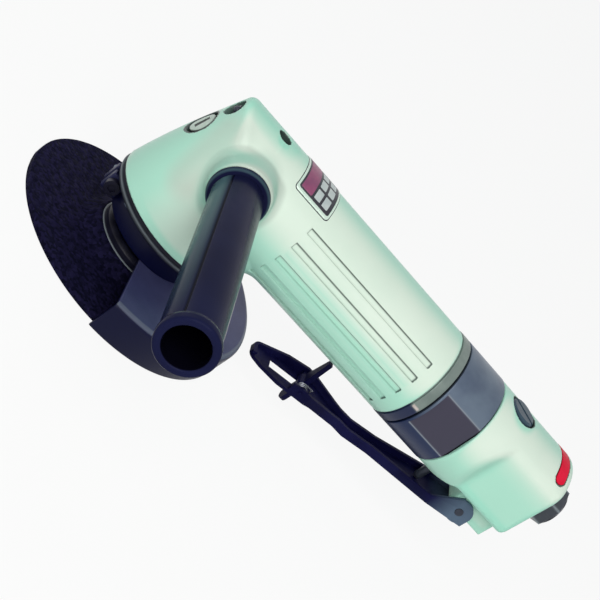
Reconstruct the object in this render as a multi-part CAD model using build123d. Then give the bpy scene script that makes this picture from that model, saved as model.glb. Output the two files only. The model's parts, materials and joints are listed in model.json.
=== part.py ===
from build123d import *
import math
import os

# Air angle grinder. The pieces are drawn with the barrel's axis along X at z = 0 and the spindle's axis
# along Z at x = 0, head to the left. They are then raised so that the wheel's working face is at z = 0.
# Lengths are in millimetres and angles in degrees.

# Clearances
fit_gap = 0.05            # pieces of one assembly that slide together
run_gap = 0.06            # shaft in its bush, per side
free_gap = 0.4            # moving pieces that pass each other

# Barrel and angle head, one casting
barrel_radius = 24.2
barrel_length = 113.8     # spindle axis to the casting's rear face
motor_bore = 19.1
motor_seat = 38.0         # spindle axis to the front of the motor
spigot_radius = 21.0
spigot_length = 18.2
head_drop = 32.0          # barrel axis down to the head's lower face
head_base_radius = 31.6
head_belt_taper = 1.4     # base to belt, per side
head_belt_drop = 18.0
head_waist_swell = 1.4    # waist outside the barrel's radius
head_crown_inset = 4.35   # crown inside the barrel's radius
crown_rise = 25.0
crown_round = 2.0
cheek_flare = 0.6         # how far the cheeks widen per millimetre below the barrel's axis
flute_count = 6
flute_first_angle = 35.0
flute_pitch = 19.8
flute_width = 2.8
flute_depth = 1.0
flute_start = 30.5
flute_length = 76.0

# Side handle
handle_height = 5.0       # above the barrel's axis
boss_radius = 13.2
boss_draft = 2.4
boss_reach = 28.4
collar_radius = 12.4
collar_thickness = 2.8
handle_length = 107.5
handle_root_radius = 10.4
handle_end_radius = 11.0
handle_bore = 8.3
handle_web = 9.0
handle_bolt_radius = 5.0
bolt_head_radius = 7.6
bolt_head_height = 8.0
bolt_socket_radius = 4.0
socket_thread_radius = 4.25
socket_depth = 15.0
pad_radius = 8.4          # low pad round the spare socket on the other side
pad_rise = 1.0            # over the barrel's side
pad_socket_depth = 12.0

# Bevel gears
tooth_module = 1.5
gear_teeth = 27
pinion_teeth = 11
tooth_face = 6.5
tooth_backlash = 0.22
gear_hub_radius = 11.0
gear_hub_drop = 21.0      # barrel axis down to the gear's lower face
pinion_hub_radius = 6.8
pinion_hub_length = 6.0
gear_room = 1.6           # between the gear's teeth and the casting

# Spindle and its bearings
spindle_radius = 6.5
spindle_top_radius = 5.0
spindle_top_rise = 17.0
bush_wall = 3.0
bush_length = 10.5
shoulder_radius = 9.2
thread_radius = 7.0
key_width = 3.0
key_length = 7.0
bearing_bore = 7.5
bearing_radius = 17.5
bearing_width = 11.0
ball_count = 8
race_wall = 2.4

# Bearing cap under the head
cap_flange = 4.0
cap_pilot_wall = 6.6      # head's rim to the cap's pilot
cap_pilot_height = 6.0
neck_radius = 21.0
neck_length = 11.0
neck_lip = 2.0
neck_lip_radius = 12.6
retainer_radius = 14.5
retainer_height = 2.4
cap_screw_count = 4
cap_screw_inset = 3.7     # head's rim to the screws' axes
cap_screw_radius = 1.9
cap_screw_head = 3.0
cap_screw_length = 12.0

# Wheel and flanges
spin_gap = 3.65           # between the neck and the inner flange
flange_radius = 20.0
flange_thickness = 4.5
flange_hub_radius = 10.0
wheel_radius = 55.0
wheel_thickness = 3.0
wheel_dish = 5.0
wheel_hub_radius = 21.5
wheel_bore = 11.1
pilot_height = 2.6
nut_radius = 16.5
nut_recess = 0.6          # between the flange nut and the wheel's working face
nut_hole_radius = 2.5
nut_hole_circle = 12.0

# Wheel guard
guard_gap = 2.2           # between the wheel's rim and the guard
guard_wall = 2.0
guard_depth = 16.0
guard_round = 2.6
guard_span = 183.6        # how far the cover goes round the wheel
band_wall = 2.6
band_height = 9.0
band_slit = 2.4
band_ear_reach = 7.0
band_ear_thickness = 4.0
clamp_screw_radius = 2.0
clamp_head_radius = 3.3
clamp_head_height = 3.0

# Vane motor
cylinder_bore = 16.2
cylinder_offset = 1.6
plate_thickness = 9.0
motor_overhang = 6.2      # motor's rear behind the casting's rear face
rotor_radius = 14.5
vane_count = 5
vane_thickness = 2.0
vane_depth = 7.5
shaft_radius = 4.0
race_radius = 11.0
race_width = 7.0
motor_ball_count = 7
motor_race_wall = 1.7
dowel_radius = 1.0
shaft_tail = 2.5

# Ring, clamp nut and backhead
ring_length = 5.0
ring_radius = 24.4
nut_length = 24.4
clamp_nut_radius = 24.4
clamp_nut_flat = 22.2     # axis to each wrench flat
clamp_nut_turn = 5.5
nut_lip = 3.2
nut_edge = 0.8
snap_width = 1.6
snap_wall = 1.4
backhead_length = 50.0
backhead_flat = 18.2
backhead_step = 17.0      # round stretch in front of the flat sides
backhead_floor = 15.5     # barrel axis down to the flat underside
backhead_round = 2.4
shoulder_round = 5.0
lug_half = 7.9
lug_drop = 27.3
plenum_radius = 15.5

# Throttle valve
valve_back = 13.3         # backhead's front face to the valve's axis
plug_radius = 6.8
plug_depth = 10.0
plug_slot = 1.6
plug_slot_turn = -33.0
seal_wire = 1.1
chamber_radius = 6.3
valve_seat_drop = 4.0
seat_radius = 4.2
stem_radius = 2.0
stem_head_radius = 5.6
stem_head_height = 3.0
spring_radius = 4.0
spring_wire = 0.9
spring_turns = 5.5
port_radius = 4.0
port_drop = 10.0

# Air inlet
inlet_rise = 4.0
inlet_flats = 19.0        # across the hexagon's flats
inlet_hex_length = 8.5
inlet_collar_radius = 11.6
inlet_collar = 1.6
inlet_thread_radius = 8.0
inlet_thread_length = 13.0
inlet_bore = 5.7
inlet_bore_length = 12.0
passage_radius = 4.6
screen_wall = 0.6

# Red inlay over the backhead
inlay_width = 5.8
inlay_half_span = 14.4
inlay_back = 3.8          # backhead's rear face to the inlay
inlay_depth = 0.9

# Throttle lever, pivot to nose
pivot_back = 34.0         # backhead's front face to the lever's pivot
pivot_drop = 25.4
pin_radius = 1.9
ear_radius = 6.2
ear_gap = 0.3
lever_wall = 1.6
lever_reach = 112.5
arm_half = 4.7
paddle_half = 9.2
knee_back = 4.5           # latch's pin to the end of the wide paddle
bend_reach = 58.0
nose_round = 6.5
nose_half = 4.8
nose_corner = 3.6
nose_taper = 16.0
nose_drop = 6.8           # latch's pin down to the nose's underside
lever_wall_height = 2.3
arm_wall_height = 4.6
latch_reach = 86.5
latch_drop = 43.1
latch_pin_radius = 1.2
slot_inset = 10.0         # lever's nose to the latch's slot

# Safety latch
latch_half = 3.2
latch_thickness = 2.2
latch_foot = 15.8
latch_foot_half = 1.4
latch_tab = 12.6
latch_knuckle = 2.5
coil_radius = 2.3
coil_wire = 0.7
coil_turns = 2.75
coil_pitch = 1.15
coil_leg = 4.5

# Small fittings on the head
front_plug_rise = 2.2
front_plug_radius = 6.4
front_plug_depth = 5.0
front_plug_socket = 2.4
nipple_rise = 16.5
nipple_radius = 1.6
spot_radius = 4.6
spot_depth = 2.6
top_hole_radius = 3.3
top_hole_depth = 5.0

# Places that follow from the sizes above
LOW = (Align.CENTER, Align.CENTER, Align.MIN)
head_face = -head_drop
neck_top = head_face - cap_flange
head_belt_radius = head_base_radius - head_belt_taper
head_waist_radius = barrel_radius + head_waist_swell
head_crown_radius = barrel_radius - head_crown_inset
cap_pilot_radius = head_base_radius - cap_pilot_wall
cap_screw_circle = head_base_radius - cap_screw_inset
neck_end = neck_top - neck_length
flange_top = neck_end - spin_gap
hub_top = flange_top - flange_thickness
hub_bottom = hub_top - wheel_thickness
disc_top = hub_top - wheel_dish
disc_bottom = disc_top - wheel_thickness
axis_height = -disc_bottom
bearing_top = neck_end + neck_lip + bearing_width
motor_end = barrel_length + motor_overhang
cylinder_length = motor_end - motor_seat - 2 * plate_thickness
ring_end = barrel_length + ring_length
nut_end = ring_end + nut_length
spigot_end = barrel_length + spigot_length
back_end = nut_end + backhead_length
flat_start = nut_end + backhead_step
valve_x = nut_end + valve_back
pivot_x = nut_end + pivot_back
pivot_z = -pivot_drop
latch_x = pivot_x - latch_reach
knee_x = latch_x + knee_back
nose_x = pivot_x - lever_reach
latch_z = -latch_drop
boss_end = -boss_reach
pad_end = barrel_radius + pad_rise
collar_end = boss_end - collar_thickness
handle_end = collar_end - handle_length
gear_radius = tooth_module * gear_teeth / 2
pinion_radius = tooth_module * pinion_teeth / 2
room_radius = gear_radius + tooth_module + gear_room


def rod_x(radius, start, end, y=0, z=0):
    return Pos(start, y, z) * Rot(0, 90, 0) * Cylinder(radius, end - start, align=LOW)


def rod_y(radius, start, end, x=0, z=0):
    return Pos(x, start, z) * Rot(-90, 0, 0) * Cylinder(radius, end - start, align=LOW)


def rod_z(radius, start, end, x=0, y=0):
    return Pos(x, y, start) * Cylinder(radius, end - start, align=LOW)


def block(x, y, z):
    """A box from three (low, high) pairs."""
    corner = Pos((x[0] + x[1]) / 2, (y[0] + y[1]) / 2, (z[0] + z[1]) / 2)
    return corner * Box(x[1] - x[0], y[1] - y[0], z[1] - z[0])


def turned(points, axis=Axis.Z):
    """Revolves an outline of (radius, height) points about an axis."""
    return revolve(Plane.XZ * make_face(Polyline(*points, close=True)), axis)


def save(name, *solids):
    raised = [Pos(0, 0, axis_height) * solid for solid in solids]
    pieces = [piece for shape in raised for piece in shape.solids()]
    export_step(Compound(children=pieces) if len(pieces) > 1 else pieces[0], f"parts/{name}.step")


def coil(radius, wire, turns, pitch, leg=0):
    """A spring along +Z: quarter turns of a helix, each drawn as two arcs that meet smoothly.
    A leg, where asked for, runs straight on from each end."""
    lead = pitch / (2 * math.pi)

    def point(angle):
        return Vector(radius * math.cos(angle), radius * math.sin(angle), lead * angle)

    def heading(angle):
        return Vector(-radius * math.sin(angle), radius * math.cos(angle), lead).normalized()

    quarters = round(turns * 4)
    arcs = []
    for quarter in range(quarters):
        first, last = quarter * math.pi / 2, (quarter + 1) * math.pi / 2
        start, end = point(first), point(last)
        leave, arrive = heading(first), heading(last)
        span = end - start
        both = leave + arrive
        bend = 2 * (1 - leave.dot(arrive))
        reach = (math.sqrt(span.dot(both) ** 2 + bend * span.dot(span)) - span.dot(both)) / bend
        middle = (start + leave * reach + end - arrive * reach) * 0.5
        arcs.append(Edge.make_tangent_arc(start, leave, middle))
        arcs.append(Edge.make_tangent_arc(middle, arcs[-1] % 1, end))
    samples = [arc @ share for arc in arcs for share in (0, 0.25, 0.5, 0.75)]
    apart = 16
    gap = min((one - other).length for number, one in enumerate(samples)
              for other in samples[number + apart:]) - wire
    print(f"spring: least gap between its turns {gap:.2f} mm")
    if leg:
        last = quarters * math.pi / 2
        arcs.insert(0, Edge.make_line(point(0) - heading(0) * leg, point(0)))
        arcs.append(Edge.make_line(point(last), point(last) + heading(last) * leg))
    path = Wire(arcs)
    section = Plane(origin=path @ 0, z_dir=path % 0) * Circle(wire / 2)
    return sweep(section, path=path)


def bevel_tooth(cone_angle, outer, face, half_widths):
    """One straight bevel tooth whose flanks run to the cones' common tip at the origin.
    Its axis is -Z and it stands at azimuth 0. half_widths pairs a height over the pitch line with
    half the tooth's width there, measured at the outer end."""
    radial, axial = math.sin(cone_angle), -math.cos(cone_angle)

    def section(distance):
        scale = distance / outer
        centre = Vector(distance * radial, 0, distance * axial)
        plane = Plane(origin=centre, x_dir=(0, 1, 0), z_dir=(radial, 0, axial))
        lift = 1 if plane.y_dir.Z > 0 else -1
        left = [(-half * scale, lift * height * scale) for height, half in half_widths]
        right = [(half * scale, lift * height * scale) for height, half in reversed(half_widths)]
        return plane * make_face(Polyline(*left, *right, close=True))

    return loft([section(outer), section(outer - face)], ruled=True)


def bevel_wheel(teeth, other_teeth, body):
    """A toothed bevel wheel about -Z with its cone's tip at the origin and a tooth at azimuth 0."""
    cone_angle = math.atan2(teeth, other_teeth)
    outer = math.hypot(gear_radius, pinion_radius)
    virtual = tooth_module * teeth / 2 / math.cos(cone_angle)
    base = virtual * math.cos(math.radians(20))
    half = math.pi * tooth_module / 4 - tooth_backlash / 2
    involute = math.tan(math.radians(20)) - math.radians(20)

    def half_width(height):
        radius = max(virtual + height, base)
        angle = math.acos(base / radius)
        return radius * (half / virtual + involute - (math.tan(angle) - angle))

    heights = [-1.3 * tooth_module, -0.6 * tooth_module, 0, 0.45 * tooth_module, 0.9 * tooth_module]
    profile = [(height, half_width(height)) for height in heights]
    tooth = bevel_tooth(cone_angle, outer, tooth_face, profile)
    ring = [Rot(0, 0, 360 * number / teeth) * tooth for number in range(teeth)]
    return body.fuse(*ring)


def head_form():
    """The angle head turned about the spindle's axis, with a rounded crown."""
    top = barrel_radius + crown_round
    outline = make_face(Polyline(
        (0, top), (0, head_face), (head_base_radius, head_face), (head_belt_radius, -head_belt_drop),
        (head_waist_radius, 0), (head_crown_radius, crown_rise), close=True))
    crown = outline.vertices().sort_by_distance((head_crown_radius, crown_rise, 0))[0]
    return revolve(Plane.XZ * fillet(crown, crown_round), Axis.Z)


def flutes(side):
    """Square ended grooves along one side of the barrel."""
    cutters = []
    for number in range(flute_count):
        angle = flute_first_angle - number * flute_pitch
        turn = Rot(180 - angle, 0, 0) if side < 0 else Rot(angle, 0, 0)
        cut = block((flute_start, flute_start + flute_length),
                    (barrel_radius - flute_depth, barrel_radius + flute_depth),
                    (-flute_width / 2, flute_width / 2))
        cutters.append(turn * cut)
    return cutters


def motor_housing():
    head = head_form()
    ahead = block((-2 * head_base_radius, 0), (-2 * head_base_radius, 2 * head_base_radius),
                  (-2 * head_drop, 2 * head_drop)) - head
    barrel = rod_x(barrel_radius, -head_base_radius, barrel_length) - ahead
    spread = barrel_radius + cheek_flare * 2 * head_drop
    pinch = barrel_radius - cheek_flare * crown_round
    cheeks = make_face(Polyline((pinch, crown_round), (spread, -2 * head_drop), (-spread, -2 * head_drop),
                                (-pinch, crown_round), close=True))
    body = barrel + (head & extrude(Plane.YZ * cheeks, 2 * head_base_radius, both=True))
    boss = Pos(0, 0, handle_height) * Rot(90, 0, 0) * Cone(
        boss_radius + boss_draft, boss_radius, boss_reach, align=LOW)
    body = body + boss + rod_y(pad_radius, 0, pad_end, z=handle_height)
    body = body + rod_x(spigot_radius, barrel_length - plate_thickness, spigot_end)
    body = body - flutes(-1) - flutes(1)
    # motor bore, pinion passage and gear room
    body = body - rod_x(motor_bore, motor_seat, spigot_end)
    body = body - rod_x(pinion_radius + tooth_module + gear_room, 0, motor_seat)
    room_top = -pinion_radius + 2 * tooth_module + gear_room
    body = body - rod_z(room_radius, head_face, room_top)
    body = body - rod_z(cap_pilot_radius + fit_gap, head_face, head_face + cap_pilot_height)
    bush_radius = spindle_top_radius + run_gap + bush_wall
    body = body - rod_z(bush_radius + fit_gap, head_face, spindle_top_rise + free_gap)
    # threaded holes and fittings
    body = body - rod_y(handle_bolt_radius + fit_gap, boss_end, boss_end + socket_depth, z=handle_height)
    body = body - rod_y(socket_thread_radius, pad_end - pad_socket_depth, pad_end, z=handle_height)
    body = body - rod_z(top_hole_radius, barrel_radius - top_hole_depth, 2 * barrel_radius)
    body = body - front_plug_hole() - nipple_hole()
    for screw in range(cap_screw_count):
        body = body - cap_screw_place(screw) * rod_z(
            cap_screw_radius + fit_gap, head_face, neck_top + cap_screw_length + free_gap)
    return body


def cap_screw_place(number):
    turn = Rot(0, 0, 45 + 360 * number / cap_screw_count)
    return turn * Pos(cap_screw_circle, 0, 0)


def front_face_x(rise):
    """Where the head's front lies at a height above the barrel's axis."""
    share = rise / crown_rise
    return -(head_waist_radius + (head_crown_radius - head_waist_radius) * share)


def front_plug_hole():
    floor = front_face_x(front_plug_rise) + front_plug_depth
    return rod_x(front_plug_radius + free_gap, -2 * head_base_radius, floor, z=front_plug_rise)


def front_plug():
    floor = front_face_x(front_plug_rise) + front_plug_depth
    front = floor - front_plug_depth + spot_depth / 4
    plug = rod_x(front_plug_radius, front, floor, z=front_plug_rise)
    plug = chamfer(plug.edges().sort_by(Axis.X)[0], fit_gap * 10)
    hexagon = Pos(front, 0, front_plug_rise) * Rot(0, 90, 0) * extrude(
        RegularPolygon(front_plug_socket, 6), front_plug_depth / 2)
    return plug - hexagon


def nipple_hole():
    face = front_face_x(nipple_rise) + spot_depth
    spot = rod_x(spot_radius, -2 * head_base_radius, face, z=nipple_rise)
    return spot + rod_x(nipple_radius + fit_gap, face - spot_depth, face + spot_radius, z=nipple_rise)


def grease_nipple():
    face = front_face_x(nipple_rise) + spot_depth
    crest = face - spot_depth + nipple_radius
    stem = rod_x(nipple_radius, crest, face + spot_radius, z=nipple_rise)
    hexagon = Pos(face - spot_depth / 2, 0, nipple_rise) * Rot(0, 90, 0) * extrude(
        RegularPolygon(nipple_radius * 1.6, 6), spot_depth / 2)
    tip = Pos(crest, 0, nipple_rise) * Sphere(nipple_radius)
    return stem + hexagon + tip


def bearing_cap():
    pilot_top = head_face + cap_pilot_height
    body = rod_z(head_base_radius, neck_top, head_face)
    body = body + rod_z(cap_pilot_radius, head_face, pilot_top) + rod_z(neck_radius, neck_end, neck_top)
    body = body - rod_z(bearing_radius + fit_gap, neck_end + neck_lip, bearing_top + retainer_height)
    body = body - rod_z(bearing_radius + fit_gap, bearing_top, pilot_top)
    body = body - rod_z(neck_lip_radius, neck_end, neck_end + neck_lip)
    for screw in range(cap_screw_count):
        body = body - cap_screw_place(screw) * cap_screw_form(fit_gap)
    return body


def cap_screw_form(extra):
    """A countersunk screw pointing up, with its head flush with the cap's flange."""
    head = cap_screw_head + extra
    shank = cap_screw_radius + extra
    top = neck_top + cap_screw_length + extra
    return turned([(0, neck_top), (head, neck_top), (shank, neck_top + head - shank), (shank, top), (0, top)])


def cap_screws():
    socket = Pos(0, 0, neck_top) * extrude(RegularPolygon(cap_screw_radius * 0.7, 6), cap_screw_radius * 0.7)
    return [cap_screw_place(number) * (cap_screw_form(0) - socket) for number in range(cap_screw_count)]


def ring_of_balls(count, circle, radius, place):
    return [place * Rot(0, 0, 360 * number / count) * Pos(circle, 0, 0) * Sphere(radius)
            for number in range(count)]


def spindle_bearing():
    """Outer ring, inner ring and balls of the bearing in the cap's neck."""
    low = neck_end + neck_lip
    bore = bearing_bore + fit_gap
    outer = rod_z(bearing_radius, low, bearing_top) - rod_z(bearing_radius - race_wall, low, bearing_top)
    inner = rod_z(bearing_bore + race_wall, low, bearing_top) - rod_z(bore, low, bearing_top)
    circle = (bearing_radius + bearing_bore) / 2
    ball = (bearing_radius - bearing_bore) / 2 - race_wall - run_gap
    balls = ring_of_balls(ball_count, circle, ball, Pos(0, 0, (low + bearing_top) / 2))
    return outer, inner, balls


def bearing_retainer():
    top = bearing_top + retainer_height
    ring = rod_z(bearing_radius, bearing_top, top) - rod_z(retainer_radius, bearing_top, top)
    notch = block((-head_base_radius, head_base_radius), (-key_width / 2, key_width / 2),
                  (top - retainer_height / 2, top))
    return ring - notch


def top_bush():
    low = spindle_top_rise - bush_length
    outer = spindle_top_radius + run_gap + bush_wall
    return rod_z(outer, low, spindle_top_rise) - rod_z(spindle_top_radius + run_gap, low, spindle_top_rise)


def spindle():
    hub = -gear_hub_drop
    top = spindle_top_rise - free_gap
    step = spindle_top_rise - bush_length - free_gap
    body = turned([
        (0, top), (spindle_top_radius, top), (spindle_top_radius, step), (spindle_radius, step),
        (spindle_radius, hub), (shoulder_radius, hub), (shoulder_radius, bearing_top),
        (bearing_bore, bearing_top), (bearing_bore, neck_end), (thread_radius, neck_end),
        (thread_radius, disc_bottom), (0, disc_bottom)])
    seat = block((spindle_radius - key_width / 2, spindle_radius), (-key_width / 2, key_width / 2),
                 (hub, hub + key_length))
    return body - seat


def key_form(extra):
    half = key_width / 2
    return block((spindle_radius - half + fit_gap, spindle_radius + half - fit_gap + extra),
                 (-half + fit_gap - extra, half - fit_gap + extra),
                 (-gear_hub_drop + fit_gap, -gear_hub_drop + key_length - fit_gap + extra))


def bevel_gear():
    cone_angle = math.atan2(gear_teeth, pinion_teeth)
    outer = math.hypot(gear_radius, pinion_radius)
    root = tooth_module * 1.2
    inner = outer - tooth_face

    def on_root(distance):
        radial = distance * math.sin(cone_angle) - root * math.cos(cone_angle)
        axial = -distance * math.cos(cone_angle) - root * math.sin(cone_angle)
        return radial, axial

    rim, eye = on_root(outer), on_root(inner)
    floor = -gear_hub_drop
    bore = spindle_radius + fit_gap
    body = turned([(bore, eye[1]), eye, rim, (rim[0], rim[1] - 2 * tooth_module),
                   (gear_hub_radius, rim[1] - 3 * tooth_module), (gear_hub_radius, floor), (bore, floor)])
    return bevel_wheel(gear_teeth, pinion_teeth, body) - key_form(2 * fit_gap)


def bevel_pinion():
    cone_angle = math.atan2(pinion_teeth, gear_teeth)
    outer = math.hypot(gear_radius, pinion_radius)
    root = tooth_module * 1.2
    inner = outer - tooth_face

    def on_root(distance):
        radial = distance * math.sin(cone_angle) - root * math.cos(cone_angle)
        axial = -distance * math.cos(cone_angle) - root * math.sin(cone_angle)
        return radial, axial

    rim, eye = on_root(outer), on_root(inner)
    bore = shaft_radius + fit_gap
    back = rim[1] - pinion_hub_length
    body = turned([(bore, eye[1]), eye, rim, (pinion_hub_radius, rim[1] - tooth_module),
                   (pinion_hub_radius, back), (bore, back)])
    return Rot(0, -90, 0) * bevel_wheel(pinion_teeth, gear_teeth, body)


def inner_flange():
    hub = rod_z(flange_hub_radius, flange_top, neck_end + neck_lip)
    plate = turned([(0, flange_top), (flange_radius - spin_gap / 2, flange_top),
                    (flange_radius, flange_top - spin_gap / 2), (flange_radius, hub_top), (0, hub_top)])
    pilot = rod_z(wheel_bore - fit_gap, hub_top - pilot_height, hub_top)
    return hub + plate + pilot - rod_z(bearing_bore + fit_gap, hub_top - pilot_height, neck_end + neck_lip)


def grinding_wheel():
    slope = wheel_hub_radius + wheel_dish
    inside = wheel_hub_radius - wheel_thickness / 2
    return turned([
        (wheel_bore, hub_top), (wheel_hub_radius, hub_top), (slope, disc_top), (wheel_radius, disc_top),
        (wheel_radius, disc_bottom), (inside + wheel_dish, disc_bottom), (inside, hub_bottom),
        (wheel_bore, hub_bottom)])


def flange_nut():
    low = disc_bottom + nut_recess
    nut = rod_z(nut_radius, low, hub_bottom) - rod_z(thread_radius + fit_gap, low, hub_bottom)
    nut = chamfer(nut.edges().group_by(Axis.Z)[0].sort_by(SortBy.LENGTH)[-1], nut_recess)
    for turn in range(2):
        nut = nut - Rot(0, 0, 180 * turn) * rod_z(nut_hole_radius, low, hub_bottom, x=nut_hole_circle)
    return nut


def wheel_guard():
    radius = wheel_radius + guard_gap + guard_wall
    top, floor = neck_end, neck_end - guard_depth
    eye = neck_lip_radius + guard_gap / 2
    shell = make_face(Polyline(
        (eye, top), (radius, top), (radius, floor), (radius - guard_wall, floor),
        (radius - guard_wall, top - guard_wall), (eye, top - guard_wall), close=True))
    corners = shell.vertices()
    outer = corners.sort_by_distance((radius, top, 0))[0]
    shell = fillet(outer, guard_round)
    inner = shell.vertices().sort_by_distance((radius - guard_wall, top - guard_wall, 0))[0]
    shell = fillet(inner, guard_round - guard_wall)
    half = Rot(0, 0, -guard_span / 2) * revolve(Plane.XZ * shell, Axis.Z, guard_span)
    band_top = top + band_height
    outside, inside = neck_radius + fit_gap + band_wall, neck_radius + fit_gap
    band = rod_z(outside, top - guard_wall, band_top) - rod_z(inside, top, band_top)
    band = band - rod_z(eye, top - guard_wall, top)
    thick = band_slit / 2 + band_ear_thickness
    ears = block((-outside - band_ear_reach, -inside - band_wall / 2), (-thick, thick), (top, band_top))
    slit = block((-2 * outside, -inside + band_wall), (-band_slit / 2, band_slit / 2), (top, band_top))
    screw_x = -outside - band_ear_reach / 2
    hole = rod_y(clamp_screw_radius + fit_gap, -outside, outside, x=screw_x, z=(top + band_top) / 2)
    return half + band + ears - slit - hole


def clamp_screw():
    outside = neck_radius + fit_gap + band_wall
    x, z = -outside - band_ear_reach / 2, neck_end + band_height / 2
    thick = band_slit / 2 + band_ear_thickness
    shank = rod_y(clamp_screw_radius, -thick, thick + clamp_head_height, x=x, z=z)
    head = rod_y(clamp_head_radius, -thick - clamp_head_height, -thick, x=x, z=z)
    socket = Pos(x, -thick - clamp_head_height, z) * Rot(-90, 0, 0) * extrude(
        RegularPolygon(clamp_screw_radius, 6), clamp_head_height / 2)
    return shank + head - socket


def clamp_hex_nut():
    outside = neck_radius + fit_gap + band_wall
    x, z = -outside - band_ear_reach / 2, neck_end + band_height / 2
    thick = band_slit / 2 + band_ear_thickness
    hexagon = RegularPolygon(clamp_head_radius, 6)
    blank = Pos(x, thick, z) * Rot(-90, 0, 0) * extrude(hexagon, clamp_head_height)
    return blank - rod_y(clamp_screw_radius + fit_gap, thick, thick + clamp_head_height, x=x, z=z)


def end_plate(start, pocket_start):
    plate = rod_x(motor_bore - fit_gap, start, start + plate_thickness)
    plate = plate - rod_x(race_radius + fit_gap, pocket_start, pocket_start + race_width)
    plate = plate - rod_x(race_radius - motor_race_wall, start, start + plate_thickness)
    return plate - dowel_hole(start, start + plate_thickness)


def dowel_hole(start, end):
    return rod_x(dowel_radius + fit_gap, start, end, z=-motor_bore + 2.5 * dowel_radius)


def cylinder_liner():
    start = motor_seat + plate_thickness
    end = start + cylinder_length
    body = rod_x(motor_bore - fit_gap, start, end) - rod_x(cylinder_bore, start, end, z=cylinder_offset)
    for turn in (-1, 0, 1):
        port = Rot(90 + turn * flute_pitch, 0, 0) * rod_z(vane_thickness, 0, motor_bore)
        body = body - Pos((start + end) / 2, 0, 0) * port
    return body - dowel_hole(start, end)


def dowel_pin():
    return rod_x(dowel_radius, motor_seat, motor_end, z=-motor_bore + 2.5 * dowel_radius)


def rotor():
    start = motor_seat + plate_thickness + free_gap
    end = motor_end - plate_thickness - free_gap
    body = rod_x(rotor_radius, start, end)
    nose = gear_radius - tooth_face
    body = body + rod_x(shaft_radius, nose, motor_end - shaft_tail)
    for number in range(vane_count):
        slot = block((start, end), (-vane_thickness / 2, vane_thickness / 2),
                     (rotor_radius - vane_depth, rotor_radius + vane_depth))
        body = body - Rot(360 * number / vane_count, 0, 0) * slot
    return body


def vanes():
    start = motor_seat + plate_thickness + 2 * free_gap
    end = motor_end - plate_thickness - 2 * free_gap
    half = vane_thickness / 2 - fit_gap
    blade = block((start, end), (-half, half), (rotor_radius - vane_depth + fit_gap, rotor_radius - fit_gap))
    return [Rot(360 * number / vane_count, 0, 0) * blade for number in range(vane_count)]


def motor_bearings():
    """Outer rings, inner rings and balls of the rotor's two bearings."""
    front = motor_seat
    rear = motor_end - race_width
    outers, inners, balls = [], [], []
    circle = (race_radius + shaft_radius) / 2
    ball = (race_radius - shaft_radius) / 2 - motor_race_wall - run_gap
    for start in (front, rear):
        end = start + race_width
        outers.append(rod_x(race_radius, start, end) - rod_x(race_radius - motor_race_wall, start, end))
        bore = shaft_radius + fit_gap
        inners.append(rod_x(shaft_radius + motor_race_wall, start, end) - rod_x(bore, start, end))
        place = Pos((start + end) / 2, 0, 0) * Rot(0, 90, 0)
        balls += ring_of_balls(motor_ball_count, circle, ball, place)
    return outers, inners, balls


def spacer_ring():
    hole = rod_x(spigot_radius + fit_gap, barrel_length, ring_end)
    ring = rod_x(ring_radius, barrel_length, ring_end) - hole
    circles = [edge for edge in ring.edges() if edge.geom_type == GeomType.CIRCLE]
    rims = [edge for edge in circles if edge.radius > (spigot_radius + ring_radius) / 2]
    return chamfer(rims, nut_edge / 2)


def clamp_nut():
    body = rod_x(clamp_nut_radius, ring_end, nut_end)
    rims = [edge for edge in body.edges() if edge.geom_type == GeomType.CIRCLE]
    body = fillet(rims, nut_edge)
    for side in (0, 180):
        flat = block((ring_end, nut_end), (clamp_nut_flat, 2 * clamp_nut_radius),
                     (-clamp_nut_radius, clamp_nut_radius))
        body = body - Rot(side - clamp_nut_turn, 0, 0) * flat
    body = body - rod_x(spigot_radius + fit_gap, ring_end, nut_end - nut_lip)
    return body - rod_x(neck_of_backhead() + fit_gap, ring_end, nut_end)


def neck_of_backhead():
    """Radius of the backhead's neck, inside the snap ring."""
    return spigot_radius - snap_wall


def snap_ring():
    end = nut_end - nut_lip
    start = end - snap_width
    ring = rod_x(spigot_radius - fit_gap, start, end) - rod_x(neck_of_backhead() - snap_wall / 2, start, end)
    return ring - block((start, end), (-snap_width, snap_width), (-2 * spigot_radius, 0))


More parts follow.
